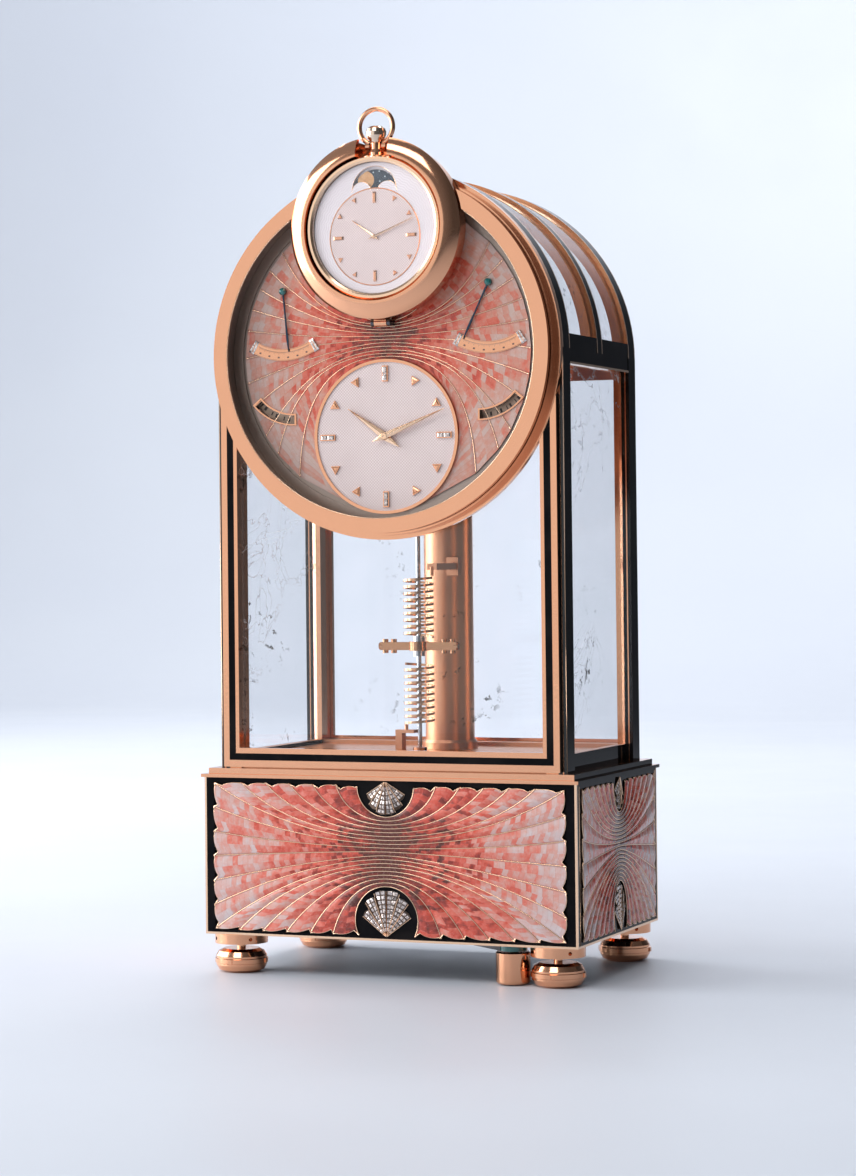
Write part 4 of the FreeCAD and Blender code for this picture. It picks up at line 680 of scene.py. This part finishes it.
class Shell:
    """A fan of strips between ribs, mirrored left and right, with gold ribs and outline."""

    def __init__(self, curves, front, scallop, bulge, holes=()):
        self.front = front
        self.points, self.faces, self.uv, self.reach = [], [], [], []
        self.curves = curves
        self.edges = []
        for side in (1, -1):
            edge = []
            for number in range(len(curves) - 1):
                grid = strip_grid(curves[number], curves[number + 1], scallop)
                self.add_strip(grid, number + (0 if side > 0 else 40), side, bulge, holes)
                edge.append(grid[-1] * (side, 1))
            self.edges.append(np.concatenate(edge))

    def add_strip(self, grid, number, side, bulge, holes):
        """One strip, domed between its ribs, without the faces that lie in a hole."""
        steps, across, _ = grid.shape
        width = np.linalg.norm(grid[:, -1] - grid[:, 0], axis=1)
        middle = grid[:, across // 2]
        run = np.concatenate([[0], np.cumsum(np.linalg.norm(np.diff(middle, axis=0), axis=1))])
        v = np.linspace(0, 1, across)
        lift = np.minimum(bulge, 0.12 * width)[:, None] * np.sin(math.pi * v)[None]
        base = len(self.points)
        for i in range(steps):
            for k in range(across):
                x, z = grid[i, k]
                self.points.append((x * side, self.front - lift[i, k], z))
                self.uv.append((run[i], number + 0.001 + 0.998 * v[k]))
                self.reach.append(min(1.0, run[i] / PALE_AT))
        for i in range(steps - 1):
            for k in range(across - 1):
                quad = [base + i * across + k, base + i * across + k + 1,
                        base + (i + 1) * across + k + 1, base + (i + 1) * across + k]
                middle_point = np.mean([self.points[q] for q in quad], axis=0)
                if not any(hole(middle_point[0], middle_point[2]) for hole in holes):
                    self.faces.append(quad if side < 0 else quad[::-1])

    def surface(self, name, body, material, node=None, change=None):
        """The shell piece, with its strip UV and its reach from the middle."""
        points = self.points if change is None else [change(p) for p in self.points]
        obj = piece(name, points, self.faces, body, "coral_shell", material, node=node)
        mesh = obj.data
        layer = mesh.uv_layers.new(name="strip")
        corner = np.empty(len(mesh.loops), np.int32)
        mesh.loops.foreach_get("vertex_index", corner)
        layer.data.foreach_set("uv", np.asarray(self.uv)[corner].ravel())
        reach = mesh.attributes.new("reach", "FLOAT", "POINT")
        reach.data.foreach_set("value", np.asarray(self.reach, np.float32))
        return obj

    def wires(self, radius, first=0, last=None):
        """Gold ribs from edge to edge."""
        made = Build()
        for curve in self.curves[first:last]:
            flat = np.concatenate([(curve * (-1, 1))[:0:-1], curve])
            line = np.stack([flat[:, 0], np.full(len(flat), self.front - RIB_PROUD), flat[:, 1]], 1)
            made.add(*tube(line, radius, 0.8))
        return made


def panel_curves():
    """Ribs of one panel from its upper notch round to its lower one: rib ends and slopes."""
    top = [(19.4, 72.0), (28.6, 60.0), (37.9, 51.0), (47.4, 47.0), (57.3, 44.0)]
    side = [(61.3, 20.0), (52.3, 9.0), (43.3, -3.5), (34.2, -12.0), (25.2, -25.0)]
    foot = [(58.5, -45.0), (49.0, -47.0), (39.5, -52.0), (30.0, -61.0), (21.0, -75.0)]
    ends = [((x, PANEL_TOP), slope) for x, slope in top]
    ends.append(((PANEL_HALF - 0.4, PANEL_TOP - 0.3), 33.0))
    ends += [((PANEL_HALF, z), slope) for z, slope in side]
    ends.append(((PANEL_HALF - 0.4, PANEL_BOTTOM + 0.3), -36.0))
    ends += [((x, PANEL_BOTTOM), slope) for x, slope in foot]
    upper_z, upper_r = UPPER_NOTCH
    lower_z, lower_r = LOWER_NOTCH
    start, finish = upper_z - upper_r, lower_z + lower_r
    step = (start - finish) / (len(ends) + 1)
    curves = [arc(upper_z, upper_r, 180.0, 91.5)]
    curves += [rib(start - step * (k + 1), *end, 0.62) for k, end in enumerate(ends)]
    curves.append(arc(lower_z, lower_r, 0.0, 117.3))
    return curves


def on_side(angle):
    """Carries local plinth-face points, depth 0 on the face, to one of the four sides."""
    squeeze = 1.0 if angle in (0, 180) else SIDE_SQUEEZE
    away = PLINTH_HALF_D if angle in (0, 180) else PLINTH_HALF_W
    c, s = round(math.cos(math.radians(angle))), round(math.sin(math.radians(angle)))

    def change(p):
        x, y = p[0] * squeeze, p[1] - away
        return x * c - y * s, x * s + y * c, p[2]
    return change


SIDES = {"front": 0, "right": 90, "back": 180, "left": -90}
panel = Shell(panel_curves(), -PANEL_PROUD + 0.12, 1.5, 0.42)


def panel_wires():
    """Ribs, scalloped outline and the outline's skirt down to the plinth."""
    made = panel.wires(0.20)
    for edge in panel.edges:
        line = np.stack([edge[:, 0], np.full(len(edge), panel.front - EDGE_PROUD), edge[:, 1]], 1)
        made.add(*tube(line, 0.24))
        skirt = np.concatenate([line, line + (0, SKIRT, 0)])
        count = len(line)
        made.add(skirt, [[i, i + 1, i + 1 + count, i + count] for i in range(count - 1)])
    return made


wires = panel_wires()
for label, turn in SIDES.items():
    change = on_side(turn)
    panel.surface("shell_" + label, "case", SHELL, "shell_panels", change)
    placed = wires.moved(change)
    piece("shell_ribs_" + label, placed.points, placed.faces, "case", "rose_gold", BRIGHT)


# ---- fan ornaments -----------------------------------------------------------------------------
FAN_PROUD = 0.72
FAN_FALL = 0.66


def fan(made, apex_z, up, blades):
    """Pleated fan of stone-set blades; each blade falls back from its inner to its outer edge."""
    sign = 1 if up else -1
    for side in (-1, 1):
        for start, end, length in blades:

            def at(across, radius, lift=0.0):
                a = math.radians(side * (start + (end - start) * across))
                depth = -FAN_PROUD + FAN_FALL * across * radius / length - lift
                return np.array([radius * math.sin(a), depth, apex_z + sign * radius * math.cos(a)])

            front = [at(0, 0.4), at(0, length), at(0.5, length * 1.02), at(1, length * 0.98), at(1, 0.4)]
            back = [np.array([p[0], -0.05, p[2]]) for p in front]
            count = len(front)
            faces = [list(range(count)), list(range(2 * count - 1, count - 1, -1))]
            faces += [[i, (i + 1) % count, (i + 1) % count + count, i + count] for i in range(count)]
            made.add(front + back, faces, 0)
            for across in (0.0, 1.0):
                made.add(*tube([at(across, 0.3, 0.04), at(across, length * 0.98, 0.04)], 0.14), 1)
            radius = 2.0
            while radius < length - 1.2:
                columns = 1 if radius < 5 else 2
                for column in range(columns):
                    stone(made, at, 0.12 + 0.80 * column / columns, 0.12 + 0.80 * (column + 0.84) / columns,
                          radius, radius + 1.35)
                radius += 1.65


def stone(made, at, left, right, near, far):
    """Cut stone whose table leans a little, each one its own way."""
    quad = [at(left, near), at(left, far), at(right, far), at(right, near)]
    centre = np.mean(quad, axis=0)
    lean = 0.10 * math.sin(12.9 * centre[0] + 7.7 * centre[2]), 0.10 * math.sin(31.0 * centre[0] + centre[2])
    table = []
    for p in quad:
        q = centre + (p - centre) * 0.7
        q[1] -= 0.16 + lean[0] * (q[0] - centre[0]) + lean[1] * (q[2] - centre[2])
        table.append(q)
    made.add(quad + table, [[4, 5, 6, 7]] + [[i, (i + 1) % 4, 4 + (i + 1) % 4, 4 + i] for i in range(4)], 2)


def fans():
    """Upper and lower fan; a blade is its two angles from the middle and its length."""
    made = Build()
    fan(made, 71.8, False, [(0, 19, 11.9), (19, 38, 10.9), (38, 58, 9.0)])
    fan(made, 15.9, True, [(0, 18, 16.5), (18, 35, 14.9), (35, 53, 12.0)])
    return made


ornament = fans()
for label, turn in SIDES.items():
    placed = ornament.moved(on_side(turn))
    piece("fan_" + label, placed.points, placed.faces, "case", "diamond", SETTING,
          BRIGHT, STONE, smooth=False, index=placed.index, node="fan_ornaments")


# ---- dial inlay --------------------------------------------------------------------------------
DIAL_RIBS = [(239.2, 20.0, 80.0), (238.3, 33.0, 72.0), (237.4, 46.5, 64.0), (236.4, 55.0, 44.0),
             (235.3, 63.0, 31.0), (234.2, 71.3, 18.0), (233.0, 79.4, 8.0), (231.8, 90.0, -3.0),
             (230.6, 99.5, -20.0), (229.3, 109.0, -38.0), (227.9, 121.0, -58.0),
             (226.7, 129.5, -76.0), (225.6, 142.0, -88.0)]


def dial_curves():
    """Ribs of the dial from straight up round to the edge of the time dial."""
    curves = [np.stack([np.zeros(STEPS), np.linspace(240.2, DIAL_Z + INLAY_R, STEPS)], 1)]
    for start_z, angle, slope in DIAL_RIBS:
        curves.append(rib(start_z, dial_point(angle, INLAY_R - 0.9, 0, DIAL_Z), slope, 0.68))
    curves.append(arc(TIME_Z, TIME_R, 0.0, 156.0))
    return curves


def window_hole(x, z):
    """True inside a calendar window."""
    side = 1 if x > 0 else -1
    dx, dz = x - side * CALENDAR[0], z - CALENDAR[1]
    away = math.hypot(dx, dz)
    angle = math.degrees(math.atan2(side * dx, -dz))
    return CALENDAR_WINDOW[0] - 0.2 < away < CALENDAR_WINDOW[1] + 0.2 and -1 < angle < CALENDAR_SPAN + 1


def hinge_hole(x, z):
    """True where a knuckle of the cradle's hinge passes."""
    return 2.2 < abs(x) < 4.1 and 236.0 < z < 239.0


def rim_curve(curves):
    """Extends the curves past the scallops, so that none passes the inlay's round edge."""
    for curve in curves:
        away = np.hypot(curve[:, 0], curve[:, 1] - DIAL_Z)
        over = away > INLAY_R
        curve[over, 0] *= INLAY_R / away[over]
        curve[over, 1] = DIAL_Z + (curve[over, 1] - DIAL_Z) * INLAY_R / away[over]
    return curves


dial = Shell(rim_curve(dial_curves()), DIAL_FRONT, -0.75, 0.10, (window_hole, hinge_hole))
dial.reach = [min(1.0, 0.08 + r * 1.25) for r in dial.reach]
dial.surface("dial_shell", "case", DIAL_SHELL, "dial_shell_inlay")
ribs = dial.wires(0.17, 1, -1)
piece("dial_ribs", ribs.points, ribs.faces, "case", "rose_gold", BRIGHT)


# ---- sector scales and calendar frames -----------------------------------------------------------
END_STONES = (-33.5, -30.9, 28.3, 30.9)
STONE_ANGLE = 2.3
STONE_RISE = 0.17
TICK_FOOT = 1.1
SCALE_END = 27.5
NUMBER_MARKS = (-22, -13, -4, 5, 14, 23)


def sector_corners(start, end, near, far, x, z):
    """Corners of a short sector; its angles count from straight down."""
    places = (start, near), (end, near), (end, far), (start, far)
    return [dial_point(180 + angle, radius, x, z) for angle, radius in places]


def gauge_details():
    """End stones, ticks, circle lines and plain marks of both sector scales."""
    made = Build()
    inner, outer = GAUGE_SCALE
    front = DIAL_FRONT - 0.5
    for side in (-1, 1):
        axis = side * GAUGE[0], GAUGE[1]
        for start in END_STONES:
            corners = sector_corners(start, start + STONE_ANGLE, inner - 0.2, outer + 0.3, *axis)
            made.add(*gem(corners, front - STONE_RISE, front + 0.2), 0)
        for k in range(-26, 27):
            length = 0.95 if k % 5 == 0 else 0.5
            ends = [dial_point(180 + k, inner + TICK_FOOT + r, *axis) for r in (0.0, length)]
            made.add(*tube([(ex, front, ez) for ex, ez in ends], 0.055, 0.4, 4), 1)
        for radius in (inner + 0.25, inner + TICK_FOOT, outer - 0.25):
            turns = np.linspace(180 - SCALE_END, 180 + SCALE_END, 30)
            line = [(px, front, pz) for px, pz in (dial_point(a, radius, *axis) for a in turns)]
            made.add(*tube(line, 0.05, 0.4, 4), 1)
        for k in NUMBER_MARKS:
            corners = sector_corners(k - 0.9, k + 0.9, outer - 1.5, outer - 0.9, *axis)
            made.add(*prism(corners, front - 0.03, front + 0.05), 1)
    return made


details = gauge_details()
piece("gauge_details", details.points, details.faces, "case", "diamond", STONE, INK,
      smooth=False, index=details.index)


# ---- hour markers: stones on the raised gold markers ---------------------------------------------
def marker_stones():
    """Pairs of stones at the quarters, gold triangles at the other hours."""
    made = Build()
    y1 = TIME_FACE - 0.6
    for number in range(12):
        z = TIME_Z + MARKER_R
        if number % 3 == 0:
            shapes = [[(-0.75, z - 2.5), (0.75, z - 2.5), (0.75, z - 0.05), (-0.75, z - 0.05)],
                      [(-0.75, z + 0.05), (0.75, z + 0.05), (0.75, z + 2.5), (-0.75, z + 2.5)]]
        else:
            shapes = [[(-1.2, z + 0.85), (1.2, z + 0.85), (0, z - 1.35)]]
        for shape in shapes:
            made.add(*gem(turned_by(shape, 30 * number, 0, TIME_Z), y1 - 0.28, y1 + 0.02, 0.35),
                     number % 3 > 0)
    return made


stones = marker_stones()
piece("time_marker_stones", stones.points, stones.faces, "case", "diamond", STONE, GOLD,
      smooth=False, index=stones.index)


# ---- hands ---------------------------------------------------------------------------------------
def ridged_hand(made, length, tail, half, y0, y1, angle, x, z):
    """Dauphine hand with a raised middle line."""
    outline = [(0, -tail), (half, -tail * 0.15), (half, length * 0.12), (0.12, length),
               (-0.12, length), (-half, length * 0.12), (-half, -tail * 0.15)]
    flat = [(px + x, pz + z) for px, pz in outline]
    ridge = [(x, z - tail * 0.55), (x, z + length * 0.85)]
    flat = turned_by(flat, angle, x, z)
    ridge = turned_by(ridge, angle, x, z)
    count = len(flat)
    points = [(px, y1, pz) for px, pz in flat] + [(px, (y0 + y1) / 2, pz) for px, pz in flat]
    points += [(px, y0, pz) for px, pz in ridge]
    faces = [list(range(count - 1, -1, -1))]
    faces += [[i, (i + 1) % count, (i + 1) % count + count, i + count] for i in range(count)]
    low_end, tip = 2 * count, 2 * count + 1
    top = [count + i for i in range(count)]
    faces += [[top[0], top[1], low_end], [top[1], top[2], tip, low_end], [top[2], top[3], tip],
              [top[3], top[4], tip], [top[4], top[5], tip], [top[5], top[6], low_end, tip],
              [top[6], top[0], low_end]]
    made.add(points, faces)


def boss(made, x, z, radius, y0, y1, sides=28):
    """Round hub with a rounded front edge."""
    profile = [(radius, y1), (radius, y0 + 0.15), (radius - 0.15, y0), (radius * 0.45, y0),
               (radius * 0.4, y0 + 0.12), (0.01, y0 + 0.12)]
    turns = np.arange(sides) * 2 * math.pi / sides
    points = [(x + r * math.cos(a), y, z + r * math.sin(a)) for r, y in profile for a in turns]
    faces = [[i * sides + k, (i + 1) * sides + k, (i + 1) * sides + (k + 1) % sides,
              i * sides + (k + 1) % sides] for i in range(len(profile) - 1) for k in range(sides)]
    made.add(points, faces)


def hand(body, node, centre, angle, length, tail, half, hub, front, back, foot):
    """Ridged hand from front to back depth, on a hub that reaches back to foot."""
    made = Build()
    ridged_hand(made, length, tail, half, front, back, angle, *centre)
    boss(made, *centre, hub, front - 0.05, foot)
    piece(node + "_ridged", made.points, made.faces, body, "rose_gold", BRIGHT, smooth=False, node=node)


CENTRE = (0.0, TIME_Z)
WATCH_CENTRE = (0.0, WATCH_HANDS_Z)
hand("hour_pipe", "hour_hand", CENTRE, HOUR_ANGLE, length=17.6, tail=7.4, half=1.25, hub=1.5,
     front=-44.3, back=-43.75, foot=-42.0)
hand("minute_arbor", "minute_hand", CENTRE, MINUTE_ANGLE, length=25.3, tail=5.1, half=1.1, hub=1.25,
     front=-45.15, back=-44.55, foot=-44.4)
hand("watch_hour", "watch_hour_hand", WATCH_CENTRE, HOUR_ANGLE, length=10.6, tail=2.4, half=0.42,
     hub=0.85, front=-51.8, back=-51.5, foot=-50.6)
hand("watch_minute", "watch_minute_hand", WATCH_CENTRE, MINUTE_ANGLE, length=16.2, tail=2.8,
     half=0.36, hub=0.6, front=-52.3, back=-51.95, foot=-51.4)


# ---- watch dial ----------------------------------------------------------------------------------
CLOUD_R = 3.75
MOON_RIM_R = 8.65


def disc_points(x, z, radius, sides=72):
    return [dial_point(360.0 * k / sides, radius, x, z) for k in range(sides)]


def watch_face():
    """Sub-dial, its gold circle, twelve markers and the clouds of the moon display."""
    made = Build()
    made.add(*prism(disc_points(*WATCH_CENTRE, SUBDIAL_R - 0.2), WATCH_FACE - 0.06, WATCH_FACE + 0.02), 0)
    circle = [(x, WATCH_FACE - 0.08, z) for x, z in disc_points(*WATCH_CENTRE, SUBDIAL_R)]
    made.add(*tube(circle, 0.22, 0.6, 6, True), 3)
    for number in range(12):
        if number % 3 == 0:
            z = WATCH_HANDS_Z + 14.2
            shape = [(-0.62, z - 2.0), (0.62, z - 2.0), (0.62, z + 2.0), (-0.62, z + 2.0)]
        else:
            z = WATCH_HANDS_Z + 15.4
            shape = [(-1.0, z + 0.7), (1.0, z + 0.7), (0, z - 1.1)]
        shape = turned_by(shape, 30 * number, *WATCH_CENTRE)
        made.add(*gem(shape, WATCH_FACE - 0.42, WATCH_FACE - 0.05, 0.3), 3)
    for x in (-5.0, 5.0):
        cloud = [p for p in disc_points(x, MOON_Z + 0.9, CLOUD_R, 48) if p[1] >= MOON_Z + 0.85]
        made.add(*prism(cloud, WATCH_FACE - 0.02, WATCH_FACE + 0.5), 2)
        edge = [(px, WATCH_FACE - 0.03, pz) for px, pz in sorted(cloud)]
        made.add(*tube(edge, 0.07, 0.5, 4), 1)
    rim = [(px, WATCH_FACE - 0.02, pz) for px, pz in sorted(
        p for p in disc_points(0, MOON_Z + 1.5, MOON_RIM_R, 96) if p[1] >= MOON_Z + 1.6)]
    made.add(*tube(rim, 0.09, 0.5, 4), 1)
    return made


face = watch_face()
piece("watch_face_details", face.points, face.faces, "watch", "guilloche", WATCH_HATCH, BRIGHT,
      WATCH_GROUND, GOLD, smooth=False, index=face.index)


# ---- fine gold lines -------------------------------------------------------------------------------
CORNER_LINE = (67.4, -41.4)
CORNER_LINE_RUN = (75.6, 224.0)
PLINTH_LINE_Y = 43.9
PLINTH_LINE_RUN = (15.2, 71.2)
MOUTH_LINES = ((60.7, -48.2), (59.85, -50.25))
CRADLE_GAP = 34.5


def gold_lines():
    """Upright lines on the case's front corners and the plinth's sides, and round the drum's mouth."""
    made = Build()
    x, y = CORNER_LINE
    for side in (-1, 1):
        made.add(*tube([(side * x, y, z) for z in CORNER_LINE_RUN], 0.24))
    for x in (-PLINTH_HALF_W, PLINTH_HALF_W):
        for y in (-PLINTH_LINE_Y, PLINTH_LINE_Y):
            made.add(*tube([(x, y, z) for z in PLINTH_LINE_RUN], 0.16))
    for radius, y in MOUTH_LINES:
        turns = np.linspace(CRADLE_GAP, 360 - CRADLE_GAP, 160)
        line = [(px, y, pz) for px, pz in (dial_point(a, radius, 0, DIAL_Z) for a in turns)]
        made.add(*tube(line, 0.2))
    return made


lines = gold_lines()
piece("fine_gold_lines", lines.points, lines.faces, "case", "rose_gold", BRIGHT)


# ---- floor, lights and camera ---------------------------------------------------------------------
def backdrop():
    """Floor that sweeps up behind the clock."""
    bend, back, top = 0.9, 2.6, 3.4
    turns = np.linspace(0, math.pi / 2, 20)
    profile = [(-3.5, 0.0)] + [(back - bend + bend * math.sin(a), bend - bend * math.cos(a)) for a in turns]
    profile.append((back, top))
    points = [(x, y, z) for y, z in profile for x in (-4.0, 4.0)]
    faces = [(2 * i, 2 * i + 1, 2 * i + 3, 2 * i + 2) for i in range(len(profile) - 1)]
    mesh = bpy.data.meshes.new("studio_sweep")
    mesh.from_pydata(points, [], faces)
    mesh.polygons.foreach_set("use_smooth", [True] * len(faces))
    mesh.materials.append(floor_material())
    obj = bpy.data.objects.new("studio_sweep", mesh)
    bpy.context.scene.collection.objects.link(obj)


def softbox(name, place, target, width, height, watts):
    """Rectangular lamp at a place, turned towards a target; all in metres."""
    light = bpy.data.lights.new(name, "AREA")
    light.shape = "RECTANGLE"
    light.size = width
    light.size_y = height
    light.energy = watts
    obj = bpy.data.objects.new(name, light)
    obj.location = place
    obj.rotation_euler = (Vector(target) - Vector(place)).to_track_quat("-Z", "Y").to_euler()
    bpy.context.scene.collection.objects.link(obj)


def surroundings():
    """Soft grey studio, brighter on the left than on the right."""
    world = bpy.data.worlds.new("studio")
    world.use_nodes = True
    nodes, links = world.node_tree.nodes, world.node_tree.links
    ground = nodes["Background"]
    ground.inputs["Color"].default_value = (0.80, 0.84, 0.92, 1.0)
    direction = nodes.new("ShaderNodeTexCoord")
    split = nodes.new("ShaderNodeSeparateXYZ")
    level = nodes.new("ShaderNodeMapRange")
    for key, value in {"From Min": -0.8, "From Max": 0.7, "To Min": 0.42, "To Max": 0.10}.items():
        level.inputs[key].default_value = value
    links.new(direction.outputs["Generated"], split.inputs[0])
    links.new(split.outputs[0], level.inputs["Value"])
    links.new(level.outputs[0], ground.inputs["Strength"])
    bpy.context.scene.world = world


def camera():
    """Long lens from the front right, a little below the dial."""
    azimuth, pitch, roll = 0.4114, 0.0195, -0.0101
    ahead = Vector((-math.sin(azimuth) * math.cos(pitch), math.cos(azimuth) * math.cos(pitch),
                    math.sin(pitch)))
    right = Vector((math.cos(azimuth), math.sin(azimuth), 0.0))
    up = right.cross(ahead)
    turned_right = math.cos(roll) * right + math.sin(roll) * up
    turned_up = -math.sin(roll) * right + math.cos(roll) * up
    matrix = Matrix((turned_right, turned_up, -ahead)).transposed().to_4x4()
    matrix.translation = Vector((0.426526, -1.074433, 0.153180))
    data = bpy.data.cameras.new("camera")
    data.lens = 94.52
    data.sensor_width = 36.0
    data.shift_x = 0.0888
    data.shift_y = -0.0780
    data.dof.use_dof = False
    data.clip_start = 0.01
    obj = bpy.data.objects.new("camera", data)
    obj.matrix_world = matrix
    bpy.context.scene.collection.objects.link(obj)
    bpy.context.scene.camera = obj


backdrop()
softbox("key_left", (-1.4, -0.75, 0.55), (0, 0, 0.17), 1.1, 1.3, 21.0)
softbox("front_left", (-0.58, -1.45, 0.25), (0, 0, 0.16), 1.1, 1.1, 2.8)
softbox("left_wing", (-1.25, 0.15, 0.4), (0, 0, 0.2), 1.3, 1.0, 16.0)
softbox("front_high", (-0.1, -1.2, 1.5), (0, 0, 0.15), 0.9, 0.7, 9.0)
softbox("top", (0.0, 0.35, 1.6), (0, 0, 0.1), 1.3, 1.0, 7.0)
softbox("backdrop_wash", (-0.6, 0.9, 1.9), (-1.2, 2.5, 0.2), 1.6, 0.8, 42.0)
surroundings()
bpy.context.scene.view_settings.view_transform = "Standard"
camera()
